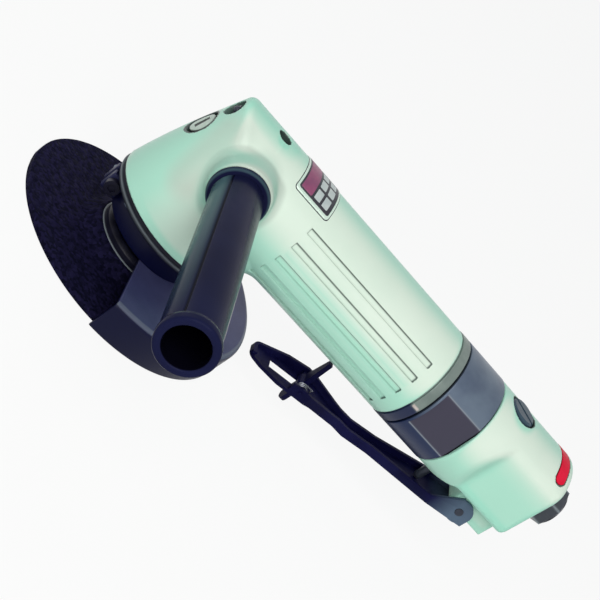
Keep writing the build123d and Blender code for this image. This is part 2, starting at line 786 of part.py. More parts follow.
def backhead():
    neck = neck_of_backhead()
    snap_end = nut_end - nut_lip
    snap_start = snap_end - snap_width
    section = Circle(barrel_radius) & Pos(0, (barrel_radius - backhead_floor) / 2) * Rectangle(
        2 * backhead_flat, barrel_radius + backhead_floor)
    section = fillet(section.vertices(), backhead_round)
    tail = extrude(Plane.YZ.offset(nut_end) * section, backhead_length)
    tail = fillet(tail.faces().sort_by(Axis.X)[-1].edges(), backhead_round)
    body = tail + backhead_shoulder()
    lug = block((pivot_x - ear_radius, back_end), (-lug_half, lug_half), (-lug_drop, 0))
    lug = fillet(lug.edges().filter_by(Axis.Z), backhead_round)
    body = body + lug + rod_y(pin_radius * 1.8, -lug_half, lug_half, x=pivot_x, z=pivot_z)
    # neck behind the motor, with the snap ring's groove
    body = body + rod_x(motor_bore - fit_gap, motor_end, spigot_end) + rod_x(neck, spigot_end, nut_end)
    body = body - (rod_x(2 * neck, snap_start, snap_end) - rod_x(neck - snap_wall / 2 - fit_gap,
                                                                 snap_start, snap_end))
    body = body - rod_x(plenum_radius, motor_end, nut_end)
    # throttle valve's bore, its ports and the inlet
    seat = -valve_seat_drop
    chamber = rod_z(chamber_radius, seat, barrel_radius, x=valve_x)
    plug = rod_z(plug_radius + fit_gap, barrel_radius - plug_depth, 2 * barrel_radius, x=valve_x)
    port = rod_z(seat_radius, -port_drop - port_radius, seat, x=valve_x)
    port = port + rod_x(port_radius, motor_end, valve_x, z=-port_drop)
    guide = rod_z(stem_radius + run_gap, -2 * barrel_radius, seat, x=valve_x)
    inlet = rod_x(passage_radius, valve_x, back_end, z=inlet_rise)
    inlet = inlet + rod_x(
        inlet_thread_radius + fit_gap, back_end - inlet_thread_length, 2 * back_end, z=inlet_rise)
    body = body - chamber - plug - port - guide - inlet
    body = body - rod_y(pin_radius + fit_gap, -2 * lug_half, 2 * lug_half, x=pivot_x, z=pivot_z)
    return body - inlay_form(fit_gap)


def backhead_shoulder():
    """The round front of the backhead, running out softly into the flat sides and floor."""
    end = flat_start + 2 * shoulder_round

    def run_out(level):
        inner, far = level - shoulder_round / 8, 2 * barrel_radius
        outline = make_face(Polyline(
            (nut_end, -far), (nut_end, far), (flat_start, far), (flat_start + shoulder_round / 4, inner),
            (end, inner), (end, -far), close=True))
        corner = outline.vertices().sort_by_distance((flat_start + shoulder_round / 4, inner, 0))[0]
        return fillet(corner, shoulder_round)

    side = extrude(run_out(backhead_flat), 2 * barrel_radius, both=True)
    floor = extrude(Plane.XZ * mirror(run_out(backhead_floor), Plane.XZ), 2 * barrel_radius, both=True)
    return rod_x(barrel_radius - fit_gap, nut_end, end) & side & mirror(side, Plane.XZ) & floor


def inlay_form(extra):
    """A rounded strip that follows the backhead's round top."""
    middle = back_end - inlay_back - inlay_width / 2
    outline = SlotOverall(2 * (inlay_half_span + extra), inlay_width + 2 * extra, rotation=90)
    strip = Pos(middle, 0, 0) * extrude(outline, 2 * barrel_radius)
    return strip & (rod_x(barrel_radius + extra, nut_end, back_end)
                    - rod_x(barrel_radius - inlay_depth - extra, nut_end, back_end))


def valve_plug():
    low = barrel_radius - plug_depth
    plug = rod_z(plug_radius, low, barrel_radius, x=valve_x)
    rims = plug.edges().group_by(Axis.Z)[-1]
    plug = chamfer(rims, plug_slot / 2)
    slot = Pos(valve_x, 0, 0) * Rot(0, 0, plug_slot_turn) * block(
        (-2 * plug_radius, 2 * plug_radius), (-plug_slot / 2, plug_slot / 2),
        (barrel_radius - plug_slot, 2 * barrel_radius))
    groove = low + 2 * seal_wire
    ring = rod_z(2 * plug_radius, groove, groove + 2 * seal_wire, x=valve_x)
    ring = ring - rod_z(plug_radius - 2 * seal_wire, groove, groove + 2 * seal_wire, x=valve_x)
    return plug - slot - ring


def plug_seal():
    height = barrel_radius - plug_depth + 3 * seal_wire
    return Pos(valve_x, 0, height) * Torus(plug_radius - seal_wire, seal_wire - fit_gap)


def valve_stem():
    seat = -valve_seat_drop + fit_gap
    tip = lever_inside(valve_x) + ear_gap + stem_radius
    stem = rod_z(stem_radius, tip, seat, x=valve_x) + Pos(valve_x, 0, tip) * Sphere(stem_radius)
    head = rod_z(stem_head_radius, seat, seat + stem_head_height, x=valve_x)
    nose = rod_z(spring_radius - spring_wire, seat, seat + 2 * stem_head_height, x=valve_x)
    return stem + head + nose


def valve_spring():
    low = -valve_seat_drop + stem_head_height + spring_wire
    high = barrel_radius - plug_depth - spring_wire
    return Pos(valve_x, 0, low) * coil(spring_radius, spring_wire, spring_turns, (high - low) / spring_turns)


def inlet_bushing():
    collar_end_x = back_end + inlet_collar
    end = collar_end_x + inlet_hex_length
    body = rod_x(inlet_thread_radius, back_end - inlet_thread_length, back_end, z=inlet_rise)
    body = body + rod_x(inlet_collar_radius, back_end, collar_end_x, z=inlet_rise)
    hexagon = Pos(collar_end_x, 0, inlet_rise) * Rot(0, 90, 0) * extrude(
        RegularPolygon(inlet_flats / 2, 6, major_radius=False), inlet_hex_length)
    crown = Pos(end, 0, inlet_rise) * Rot(0, -90, 0) * Cone(
        inlet_flats / 2, inlet_flats / 2 + 2 * inlet_hex_length, 2 * inlet_hex_length, align=LOW)
    body = body + (hexagon & crown)
    body = body - rod_x(inlet_bore, end - inlet_bore_length, end, z=inlet_rise)
    return body - rod_x(passage_radius, back_end - inlet_thread_length, end, z=inlet_rise)


def inlet_screen():
    """A thin strainer cup in the passage behind the bushing."""
    end = back_end - inlet_thread_length
    start = end - inlet_thread_length / 2
    cup = rod_x(passage_radius - fit_gap, start, end, z=inlet_rise)
    return cup - rod_x(passage_radius - fit_gap - screen_wall, start + screen_wall, end, z=inlet_rise)


def lever_floor():
    """The lever's outer face as (x, z) points from its rear end to its nose."""
    rear = (pivot_x + ear_radius, pivot_z - ear_radius + lever_wall)
    bend = (pivot_x - bend_reach, latch_z - lever_wall)
    waist = (knee_x + 2 * lever_wall, latch_z - lever_wall - ear_gap)
    chin = (nose_x + nose_round, latch_z - nose_drop)
    nose = (nose_x, latch_z - nose_drop - ear_gap)
    return [rear, bend, waist, chin, nose]


def lever_inside(x):
    """Height of the lever's inner face at a place along its sloping arm."""
    rear, bend = lever_floor()[:2]
    slope = (rear[1] - bend[1]) / (rear[0] - bend[0])
    return bend[1] + slope * (x - bend[0]) + lever_wall


def throttle_lever():
    rear, bend, waist, chin, nose = lever_floor()
    lift, rise = lever_wall_height, arm_wall_height
    knee = (latch_x, latch_z + latch_knuckle + ear_gap)
    arm_end = pivot_x - 2.2 * ear_radius
    side = make_face(Polyline(
        rear, bend, waist, chin, nose, (nose[0], nose[1] + lift), knee,
        (knee[0] + 2 * latch_knuckle, knee[1]),
        (waist[0] + 4 * latch_knuckle, waist[1] + rise), (bend[0], bend[1] + rise),
        (arm_end, lever_inside(arm_end) + rise - lever_wall),
        (pivot_x - ear_radius / 2, pivot_z + ear_radius), (rear[0], pivot_z), close=True))
    ear = Pos(pivot_x, pivot_z) * Circle(ear_radius)
    side = side + ear
    outer_half = lug_half + ear_gap + lever_wall
    plan = lever_plan(outer_half)
    high = pivot_z + 2 * ear_radius
    low = latch_z - nose_drop - lever_wall
    shell = extrude(Plane.XZ * side, outer_half, both=True) & (Pos(0, 0, low) * extrude(plan, high - low))
    inside = Pos(0, 0, low) * extrude(offset(plan, -lever_wall, kind=Kind.INTERSECTION), high - low)
    inside = inside + block((arm_end, pivot_x + 2 * ear_radius), (-lug_half - ear_gap, lug_half + ear_gap),
                            (low, high))
    raised = [(x, z + lever_wall) for x, z in (rear, bend, waist, chin, nose)]
    behind, ahead = rear[0] + ear_radius, nose[0] - nose_round
    above = make_face(Polyline(
        (behind, raised[0][1]), *raised, (ahead, raised[-1][1]), (ahead, high), (behind, high), close=True))
    body = shell - (inside & extrude(Plane.XZ * above, 2 * outer_half, both=True))
    slot_end = latch_x + latch_knuckle + free_gap
    slot_half = latch_half + free_gap
    # the near side of the paddle has no wall ahead of the latch's ear
    near_side = block((nose_x - nose_round, latch_x - 2 * latch_knuckle), (-2 * paddle_half, -slot_half),
                      (low, high))
    body = body - (near_side & extrude(Plane.XZ * above, 2 * outer_half, both=True))
    body = body - block((nose_x + slot_inset, slot_end), (-slot_half, slot_half), (low, latch_z))
    relief = coil_radius + coil_wire
    spring_end = -latch_half - coil_length()
    body = body - block((latch_x - relief, latch_x + relief), (spring_end, 0), (low, latch_z))
    body = body - rod_y(pin_radius + run_gap, -2 * outer_half, 2 * outer_half, x=pivot_x, z=pivot_z)
    return body - rod_y(latch_pin_radius + fit_gap, -2 * outer_half, 2 * outer_half, x=latch_x, z=latch_z)


def lever_plan(outer_half):
    """The lever's outline from above: ears, slim arm, wide paddle and round nose."""
    bend_x = pivot_x - bend_reach
    corners = [(nose_x, nose_half), (nose_x + nose_taper, paddle_half), (knee_x, paddle_half),
               (bend_x - nose_round, arm_half), (bend_x + 2 * nose_round, arm_half),
               (pivot_x - 2 * ear_radius, outer_half), (pivot_x + 2 * ear_radius, outer_half)]
    lower = [(x, -y) for x, y in reversed(corners)]
    outline = make_face(Polyline(*corners, *lower, close=True))
    front = outline.vertices().sort_by(Axis.X)[:2]
    return fillet(front, nose_corner)


def lever_pin():
    half = lug_half + ear_gap + lever_wall + ear_gap
    return rod_y(pin_radius, -half, half, x=pivot_x, z=pivot_z)


def latch_pin():
    half = paddle_half + ear_gap
    return rod_y(latch_pin_radius, -half, half, x=latch_x, z=latch_z)


def safety_latch():
    tip = latch_foot
    outline = make_face(Polyline(
        (-latch_half, -latch_tab + latch_half), (latch_half, -latch_tab + latch_half),
        (latch_half, latch_knuckle), (latch_foot_half, tip), (-latch_foot_half, tip),
        (-latch_half, latch_knuckle), close=True))
    outline = outline + Pos(0, -latch_tab + latch_half) * Circle(latch_half)
    strip = extrude(Plane.YZ * outline, latch_thickness / 2, both=True)
    knuckle = rod_y(latch_knuckle, -latch_half, latch_half)
    body = strip + knuckle - rod_y(latch_pin_radius + run_gap, -2 * latch_half, 2 * latch_half)
    return Pos(latch_x, 0, latch_z) * body


def coil_length():
    """Room that the latch's spring takes along its pin."""
    return coil_turns * coil_pitch + coil_wire + ear_gap


def latch_spring():
    start = -latch_half - coil_length() + coil_wire / 2
    return Pos(latch_x, start, latch_z) * Rot(-90, 0, 0) * coil(
        coil_radius, coil_wire, coil_turns, coil_pitch, coil_leg)


def handle_collar():
    ring = rod_y(collar_radius, collar_end, boss_end, z=handle_height)
    return ring - rod_y(handle_bolt_radius + fit_gap, collar_end, boss_end, z=handle_height)


def side_handle():
    tube = turned([
        (handle_bolt_radius + fit_gap, 0), (handle_root_radius, 0), (handle_end_radius, handle_length),
        (handle_bore, handle_length), (handle_bore, handle_web), (handle_bolt_radius + fit_gap, handle_web)])
    end = tube.edges().group_by(Axis.Z)[-1]
    tube = fillet(end, (handle_end_radius - handle_bore) / 4)
    return Pos(0, collar_end, handle_height) * Rot(90, 0, 0) * tube


def handle_bolt():
    head_low = collar_end - handle_web
    bolt = rod_y(handle_bolt_radius, head_low, boss_end + socket_depth - free_gap, z=handle_height)
    bolt = bolt + rod_y(bolt_head_radius, head_low - bolt_head_height, head_low, z=handle_height)
    socket = Pos(0, head_low - bolt_head_height, handle_height) * Rot(-90, 0, 0) * extrude(
        RegularPolygon(bolt_socket_radius, 6), bolt_head_height / 2)
    return bolt - socket


os.makedirs("parts", exist_ok=True)
save("motor_housing", motor_housing())
save("front_plug", front_plug())
save("grease_nipple", grease_nipple())
save("bearing_cap", bearing_cap())
save("cap_screws", *cap_screws())
outer_race, inner_race, spindle_balls = spindle_bearing()
save("spindle_bearing_outer", outer_race)
save("spindle_bearing_inner", inner_race)
save("spindle_bearing_balls", *spindle_balls)
save("bearing_retainer", bearing_retainer())
save("top_bush", top_bush())
save("spindle", spindle())
save("gear_key", key_form(0))
save("bevel_gear", bevel_gear())
save("bevel_pinion", bevel_pinion())
save("inner_flange", inner_flange())
save("grinding_wheel", grinding_wheel())
save("flange_nut", flange_nut())
save("wheel_guard", wheel_guard())
save("guard_clamp_screw", clamp_screw())
save("guard_clamp_nut", clamp_hex_nut())
save("front_end_plate", end_plate(motor_seat, motor_seat))
save("rear_end_plate", end_plate(motor_end - plate_thickness, motor_end - race_width))
save("motor_cylinder", cylinder_liner())
save("dowel_pin", dowel_pin())
save("rotor", rotor())
save("rotor_vanes", *vanes())
outer_races, inner_races, motor_balls = motor_bearings()
save("rotor_bearing_outers", *outer_races)
save("rotor_bearing_inners", *inner_races)
save("rotor_bearing_balls", *motor_balls)
save("spacer_ring", spacer_ring())
save("clamp_nut", clamp_nut())
save("snap_ring", snap_ring())
save("backhead", backhead())
save("red_inlay", inlay_form(0))
save("valve_plug", valve_plug())
save("plug_seal", plug_seal())
save("valve_stem", valve_stem())
save("valve_spring", valve_spring())
save("inlet_bushing", inlet_bushing())
save("inlet_screen", inlet_screen())
save("throttle_lever", throttle_lever())
save("lever_pin", lever_pin())
save("safety_latch", safety_latch())
save("latch_pin", latch_pin())
save("latch_spring", latch_spring())
save("handle_collar", handle_collar())
save("side_handle", side_handle())
save("handle_bolt", handle_bolt())
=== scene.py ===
# %% [markdown]
# # Air angle grinder
# The solid parts come in as a fixed frame, with the wheel's working face at z = 0, the barrel along +X and
# the side handle along -Y. Everything below dresses that frame: light first, then finishes, then skins that
# give the castings and turned parts the soft edges that the solids lack.

# %% Load the frame
import bpy
import bmesh
import json
import math
import itertools
import numpy as np
from mathutils import Matrix, Vector


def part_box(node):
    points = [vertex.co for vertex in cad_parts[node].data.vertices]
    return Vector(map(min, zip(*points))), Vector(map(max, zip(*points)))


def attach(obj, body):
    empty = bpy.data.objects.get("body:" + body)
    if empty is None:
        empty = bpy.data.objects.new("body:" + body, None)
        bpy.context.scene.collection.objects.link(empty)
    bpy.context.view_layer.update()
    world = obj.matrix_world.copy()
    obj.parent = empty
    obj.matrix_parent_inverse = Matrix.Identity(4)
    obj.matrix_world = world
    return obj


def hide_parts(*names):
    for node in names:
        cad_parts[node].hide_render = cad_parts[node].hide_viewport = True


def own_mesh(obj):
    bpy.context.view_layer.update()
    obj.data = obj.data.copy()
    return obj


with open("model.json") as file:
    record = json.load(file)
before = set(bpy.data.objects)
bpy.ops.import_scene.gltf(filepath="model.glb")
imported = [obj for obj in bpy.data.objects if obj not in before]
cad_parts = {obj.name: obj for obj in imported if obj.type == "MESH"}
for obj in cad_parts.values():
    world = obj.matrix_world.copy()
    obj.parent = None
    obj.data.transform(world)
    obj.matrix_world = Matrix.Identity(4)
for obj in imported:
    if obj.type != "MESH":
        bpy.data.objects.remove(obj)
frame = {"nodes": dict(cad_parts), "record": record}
nodes = frame["nodes"]
scene = bpy.context.scene
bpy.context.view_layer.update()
MM = 0.001
nut_low, nut_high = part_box("clamp_nut")
AXIS_HEIGHT = (nut_low.z + nut_high.z) / 2 / MM  # barrel axis over the wheel's working face, mm
print(f"{len(nodes)} solid nodes, barrel axis {AXIS_HEIGHT:.2f} mm up")

# %% [markdown]
# ## Camera
# The photograph looks along the tool from the head's side, from above, and is turned so that the tool lies
# across it. A camera is a place, a direction and a roll, so its three axes are written out directly.

# %% Camera
camera_place = Vector((-148.06, -559.04, 240.32 + AXIS_HEIGHT)) * MM
camera_right = Vector((0.636891, 0.116287, 0.762134))
camera_down = Vector((0.701925, -0.496323, -0.510847))
camera_ahead = Vector((0.318859, 0.860314, -0.397728))
camera_data = bpy.data.cameras.new("camera")
camera_data.sensor_width = 36.0
camera_data.lens = 94.96
camera_data.clip_start = 0.01
camera = bpy.data.objects.new("camera", camera_data)
camera_turn = Matrix((camera_right, -camera_down, -camera_ahead)).transposed().to_4x4()
camera.matrix_world = Matrix.Translation(camera_place) @ camera_turn
scene.collection.objects.link(camera)
scene.camera = camera
print("camera at", tuple(round(v, 3) for v in camera_place))

# %% [markdown]
# ## Floor and light
# A product photograph has soft light from large panels and a white ground. The floor is pale and keeps the
# shadow, and both floor and world show white to the camera and in reflections, so no extra light falls on
# the tool. One helper makes a shader node and fills its sockets, here and in every finish below.

# %% Floor, world and lamps
scene.view_settings.view_transform = "Standard"


def fill(tree, node, links, **values):
    """Sets a shader node's sockets by name and joins sockets to the outputs given in links."""
    for socket, value in values.items():
        node.inputs[socket.replace("_", " ")].default_value = value
    for socket, output in links.items():
        tree.links.new(output, node.inputs[socket])
    return node


def wire(tree, kind, links=(), **values):
    """Adds a shader node and fills its sockets."""
    return fill(tree, tree.nodes.new("ShaderNode" + kind), dict(links), **values)


def white_where_seen(owner, share, shader, white, output, **values):
    """Gives a world or a material a shader, mixed by the given share with plain white for camera, glossy and
    transmission rays alone."""
    owner.use_nodes = True
    tree = owner.node_tree
    tree.nodes.clear()
    path = wire(tree, "LightPath").outputs
    seen = path["Is Camera Ray"]
    for other in ("Is Glossy Ray", "Is Transmission Ray"):
        larger = wire(tree, "Math", {0: seen, 1: path[other]})
        larger.operation = "MAXIMUM"
        seen = larger.outputs[0]
    factor = wire(tree, "Math", {0: seen})
    factor.operation = "MULTIPLY"
    factor.inputs[1].default_value = share
    own = wire(tree, shader, **values).outputs[0]
    plain = wire(tree, white, Color=(1.0, 1.0, 1.0, 1.0), Strength=1.0).outputs[0]
    mix = wire(tree, "MixShader", {0: factor.outputs[0], 1: own, 2: plain})
    wire(tree, output, {"Surface": mix.outputs[0]})


def lamp(name, place, target, size, power):
    """A square panel lamp, given in millimetres from the spindle, aimed at a point."""
    data = bpy.data.lights.new(name, "AREA")
    data.size = size * MM
    data.energy = power
    data.color = (1.0, 0.98, 0.94)
    light = bpy.data.objects.new(name, data)
    aim = (Vector(target) - Vector(place)).to_track_quat("-Z", "Y")
    light.matrix_world = Matrix.Translation(Vector(place) * MM) @ aim.to_matrix().to_4x4()
    scene.collection.objects.link(light)


def floor_sheet(reach, pale, white_share):
    """A flat square sheet under the wheel: its reach in millimetres, its colour and its share of white."""
    corners = np.array([(-1, -1, 0), (1, -1, 0), (1, 1, 0), (-1, 1, 0)]) * reach * MM
    mesh = bpy.data.meshes.new("floor")
    mesh.from_pydata(corners.tolist(), [], [(0, 1, 2, 3)])
    floor = bpy.data.objects.new("floor", mesh)
    scene.collection.objects.link(floor)
    material = bpy.data.materials.new("floor_white")
    white_where_seen(material, white_share, "BsdfDiffuse", "Emission", "OutputMaterial", Color=pale)
    mesh.materials.append(material)


scene.world = bpy.data.worlds.new("studio")
white_where_seen(scene.world, 1.0, "Background", "Background", "OutputWorld",
                 Color=(0.78, 1.0, 0.96, 1.0), Strength=0.20)
floor_sheet(3000, (0.85, 0.85, 0.85, 1.0), 0.90)
tool_middle = (60, 0, 60)
lamp("key", (-140, -900, 760), tool_middle, 900, 11.0)
lamp("fill", (-700, 500, 500), tool_middle, 800, 1.6)
print("white ground and two lamps")

# %% [markdown]
# ## Finishes
# Nearly every finish on this tool is one recipe: a colour that drifts slowly between two tones, a fine grain
# that bends the surface a little, and a gloss that follows the grain. The recipe reads Object coordinates, so
# a pattern keeps its real size on every piece. Only the numbers differ from one finish to the next.

# %% Finish recipe
finishes = {}


def ramp(tree, source, low, high, low_colour, high_colour):
    """Blends from one colour to another while the source runs from low to high."""
    made = wire(tree, "ValToRGB", {"Fac": source})
    first, last = made.color_ramp.elements
    first.position, last.position = low, high
    first.color, last.color = (*low_colour, 1.0), (*high_colour, 1.0)
    return made.outputs["Color"]


def spread(tree, source, low, high):
    """Maps a noise value onto a range."""
    made = wire(tree, "MapRange", {"Value": source}, From_Min=0.3, From_Max=0.7, To_Min=low, To_Max=high)
    return made.outputs["Result"]


def noise(tree, coords, size):
    """Cloudy noise whose blotches are about the given size in millimetres."""
    return wire(tree, "TexNoise", {"Vector": coords}, Scale=1000 / size, Detail=3.0).outputs["Fac"]


def start_finish(name):
    """A new material, kept under its name: its tree, its surface shader and the piece's own coordinates."""
    material = bpy.data.materials.new(name)
    material.use_nodes = True
    finishes[name] = material
    tree = material.node_tree
    return tree, tree.nodes["Principled BSDF"], wire(tree, "TexCoord").outputs["Object"]


def finish(name, tones, blotch, grain, depth, rough, metallic=0.0, coat=0.0, shine=0.5):
    """Two tones drifting over blotches, a bump of the given grain and depth, all three in millimetres, and a
    gloss between two limits."""
    tree, surface, coords = start_finish(name)
    fine = noise(tree, coords, grain)
    bump = wire(tree, "Bump", {"Height": fine}, Distance=depth * MM)
    fill(tree, surface, {"Base Color": ramp(tree, noise(tree, coords, blotch), 0.35, 0.65, *tones),
                         "Roughness": spread(tree, fine, *rough), "Normal": bump.outputs["Normal"]},
         Metallic=metallic, Specular_IOR_Level=shine, Coat_Weight=coat, Coat_Roughness=0.10)


finish("cast_paint", ((0.74, 0.87, 0.77), (0.81, 0.91, 0.82)), 45, 1.4, 0.006, (0.32, 0.42),
       coat=0.1, shine=0.3)
finish("black_gloss", ((0.008, 0.009, 0.036), (0.012, 0.014, 0.052)), 40, 2.5, 0.004, (0.16, 0.24),
       shine=0.02)
finish("blued_steel", ((0.086, 0.112, 0.172), (0.134, 0.172, 0.234)), 16, 0.5, 0.006, (0.30, 0.42),
       metallic=0.3, shine=0.2)
finish("ring_grey", ((0.165, 0.205, 0.195), (0.230, 0.275, 0.260)), 9, 0.4, 0.006, (0.32, 0.46),
       metallic=0.3, shine=0.2)
finish("guard_paint", ((0.044, 0.047, 0.130), (0.062, 0.066, 0.168)), 22, 0.9, 0.010, (0.30, 0.42),
       shine=0.15)
finish("lever_paint", ((0.003, 0.003, 0.028), (0.007, 0.007, 0.050)), 14, 0.8, 0.010, (0.40, 0.55),
       shine=0.06)
finish("dark_metal", ((0.022, 0.026, 0.044), (0.046, 0.054, 0.075)), 7, 0.4, 0.012, (0.28, 0.42),
       metallic=0.3, shine=0.4)
finish("inlay_red", ((0.82, 0.010, 0.045), (0.90, 0.020, 0.065)), 8, 0.5, 0.010, (0.35, 0.45), shine=0.05)
finish("bright_steel", ((0.50, 0.51, 0.52), (0.66, 0.67, 0.68)), 5, 0.3, 0.010, (0.22, 0.36), metallic=1.0)
finish("spring_steel", ((0.16, 0.17, 0.20), (0.26, 0.27, 0.31)), 3, 0.3, 0.010, (0.25, 0.40), metallic=1.0)
finish("bearing_steel", ((0.66, 0.67, 0.69), (0.78, 0.79, 0.80)), 6, 0.3, 0.004, (0.10, 0.18), metallic=1.0)
finish("motor_iron", ((0.20, 0.20, 0.21), (0.32, 0.32, 0.33)), 4, 0.4, 0.020, (0.40, 0.60), metallic=0.8)
finish("bronze", ((0.50, 0.34, 0.15), (0.64, 0.46, 0.22)), 3, 0.3, 0.030, (0.35, 0.55), metallic=0.9)
finish("vane_brown", ((0.20, 0.11, 0.06), (0.32, 0.20, 0.11)), 2, 0.4, 0.020, (0.50, 0.70))
finish("seal_rubber", ((0.014, 0.014, 0.015), (0.026, 0.026, 0.027)), 3, 0.5, 0.020, (0.60, 0.80))
print(len(finishes), "finishes from one recipe")

# %% [markdown]
# ## Painted shade, painted highlights and grit
# Shade in grooves and holes and on sides turned from the light, highlights on edges and a few tones are
# painted on. Each follows the shape, so each piece carries it as a number on every point, its mark, and the
# finish blends towards a second colour by it. The wheel alone needs its own recipe. It is grit in dark resin,
# so the cells of a
# Voronoi pattern are its grains.

# %% Marks and wheel finish


def tint(name, mark_name, colour):
    """Blends a finish's own colour towards another one, as far as a piece's mark of that name says."""
    tree = finishes[name].node_tree
    socket = tree.nodes["Principled BSDF"].inputs["Base Color"]
    amount = wire(tree, "Attribute")
    amount.attribute_name = mark_name
    blend = wire(tree, "Mix")
    blend.data_type = "RGBA"
    factor, below, above = 0, 6, 7  # sockets of a colour mix
    fill(tree, blend, {factor: amount.outputs["Fac"], below: socket.links[0].from_socket})
    blend.inputs[above].default_value = (*colour, 1.0)
    tree.links.new(blend.outputs[2], socket)


def wheel_grit():
    """Abrasive: each Voronoi cell is one grain with its own tone, and the cells' edges sink between them."""
    tree, surface, coords = start_finish("wheel_grit")
    cells = wire(tree, "TexVoronoi", {"Vector": coords}, Scale=1000 / 1.3)
    tone = wire(tree, "SeparateColor", {"Color": cells.outputs["Color"]}).outputs[0]
    grain = ramp(tree, tone, 0.2, 1.0, (0.003, 0.003, 0.013), (0.013, 0.011, 0.044))
    bump = wire(tree, "Bump", {"Height": cells.outputs["Distance"]}, Distance=0.2 * MM)
    bump.invert = True
    rough = spread(tree, noise(tree, coords, 3), 0.62, 0.9)
    fill(tree, surface, {"Base Color": grain, "Roughness": rough, "Normal": bump.outputs["Normal"]},
         Specular_IOR_Level=0.04)


# painted shade: a cooler tint where the casting faces away from the light
tint("cast_paint", "shade_tint", (0.38, 0.80, 0.65))
# painted shade in grooves and holes, round the boss and down the head's side
tint("cast_paint", "painted_shade", (0.045, 0.070, 0.065))
# clamp nut: painted shade underneath, on the flats and in the grooves
tint("blued_steel", "shade", (0.010, 0.022, 0.078))
tint("blued_steel", "flat", (0.058, 0.054, 0.084))
# painted highlight along the nut's flats' edges
tint("blued_steel", "painted_highlight", (0.30, 0.34, 0.40))
tint("blued_steel", "groove_shade", (0.002, 0.003, 0.006))
# grey ring: painted shade on its lower half
tint("ring_grey", "shade", (0.022, 0.030, 0.075))
# a small pinkish pale spot on the ring
tint("ring_grey", "pale_spot", (0.60, 0.52, 0.50))
# guard: painted shade on the skirt, the band and the ears
tint("guard_paint", "guard_shade", (0.003, 0.004, 0.030))
# painted highlight along the guard's outer fold
tint("guard_paint", "painted_highlight", (0.20, 0.23, 0.28))
# lever: lighter blue-grey towards its ears
tint("lever_paint", "lighter_ears", (0.105, 0.150, 0.225))
# handle: a painted sheen on its front, and a painted highlight on the collar's edge
tint("black_gloss", "painted_sheen", (0.095, 0.180, 0.205))
# handle: painted shade inside the bore and along the seam
tint("black_gloss", "edge", (0.002, 0.002, 0.006))
wheel_grit()
for row in frame["record"]["subparts"]:
    data = nodes[row["node"]].data
    data.materials.clear()
    data.materials.append(finishes[row["material_slot"]])
print("finishes on all", len(nodes), "solid nodes")

# %% [markdown]
# ## From points to pieces
# Every new piece below is a grid of points that a formula gives, or a net of points on a formula's surface.
# The helpers raise such points from the barrel's axis to the frame, weld the seam and the poles, and mark
# edges sharper than a given angle so that smooth shading stops there.

# %% Mesh helpers


def fill_mesh(name, points, quads):
    """A mesh from arrays of points, in millimetres about the barrel's axis, and of four-cornered faces."""
    mesh = bpy.data.meshes.new(name)
    placed = (points + (0, 0, AXIS_HEIGHT)) * MM
    mesh.from_pydata(placed.tolist(), [], quads.tolist())
    return mesh


def weld(mesh):
    """Merges points that coincide and turns all faces outwards."""
    work = bmesh.new()
    work.from_mesh(mesh)
    bmesh.ops.remove_doubles(work, verts=work.verts, dist=2e-7)
    bmesh.ops.dissolve_degenerate(work, edges=work.edges, dist=1e-8)
    bmesh.ops.recalc_face_normals(work, faces=work.faces)
    work.to_mesh(mesh)
    work.free()


def grid_mesh(name, grid, sharp=35):
    """A mesh over a grid of points (rows, columns, 3): each square of the grid is a face."""
    rows, columns = grid.shape[:2]
    number = np.arange(rows * columns).reshape(rows, columns)
    corners = (number[:-1, :-1], number[1:, :-1], number[1:, 1:], number[:-1, 1:])
    mesh = fill_mesh(name, grid.reshape(-1, 3), np.stack(corners, -1).reshape(-1, 4))
    weld(mesh)
    mesh.shade_smooth()
    mesh.set_sharp_from_angle(angle=math.radians(sharp))
    return mesh


def add_piece(mesh, body, slot, *stands_for, look=None):
    """Puts a mesh on a body, in place of solid nodes, with the finish of its slot or one of its own."""
    made = bpy.data.objects.new(mesh.name, mesh)
    scene.collection.objects.link(made)
    mesh.materials.append(finishes[look or slot])
    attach(made, body)
    if stands_for:
        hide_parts(*stands_for)
    print(f"{mesh.name}: {len(mesh.polygons)} faces on {body}")
    return made


def mark(mesh, name, values):
    """Writes a number on each point, or the same one on all, for a finish to read."""
    layer = mesh.attributes.new(name, "FLOAT", "POINT")
    layer.data.foreach_set("value", np.broadcast_to(values, len(mesh.vertices)).astype(np.float32))


def places(mesh):
    """A mesh's points as three arrays x, y and z, in millimetres about the barrel's axis."""
    flat = np.zeros(3 * len(mesh.vertices), np.float32)
    mesh.vertices.foreach_get("co", flat)
    return (flat.reshape(-1, 3) / MM - (0, 0, AXIS_HEIGHT)).T


print(f"points are raised by {AXIS_HEIGHT:.2f} mm, from the barrel's axis to the frame")

# %% [markdown]
# ## The castings as distance fields
# A casting has no sharp inside corner: metal flows round every meeting of two forms. Bevelling the solid's
# many small faces would tear, and a loft cannot follow the branching head. So the casting is a distance
# field, a number at each point in space that is negative inside, and smooth minima and maxima join and cut
# forms with fillets.

# %% Smooth joins


def smooth_max(one, other, blend):
    """The larger of two fields, with the corner between them rounded over about the blend's width."""
    share = np.clip(0.5 + 0.5 * (one - other) / blend, 0, 1)
    return other + (one - other) * share + blend * share * (1 - share)


def smooth_min(one, other, blend):
    """The smaller of two fields, with a fillet of about the blend's width."""
    return -smooth_max(-one, -other, blend)


def ease(value, low, high):
    """0 below low, 1 above high, with a smooth run between."""
    share = np.clip((value - low) / (high - low), 0, 1)
    return share * share * (3 - 2 * share)


def bell(off, width):
    """1 where off is 0 and less on both sides, down to a third at the given width."""
    return np.exp(-(off / width) ** 2)


def slope(field, points, step=0.02):
    """A field's gradient at points, by central differences."""
    steps = np.eye(3) * step
    return np.stack([(field(points + s) - field(points - s)) / (2 * step) for s in steps], -1)


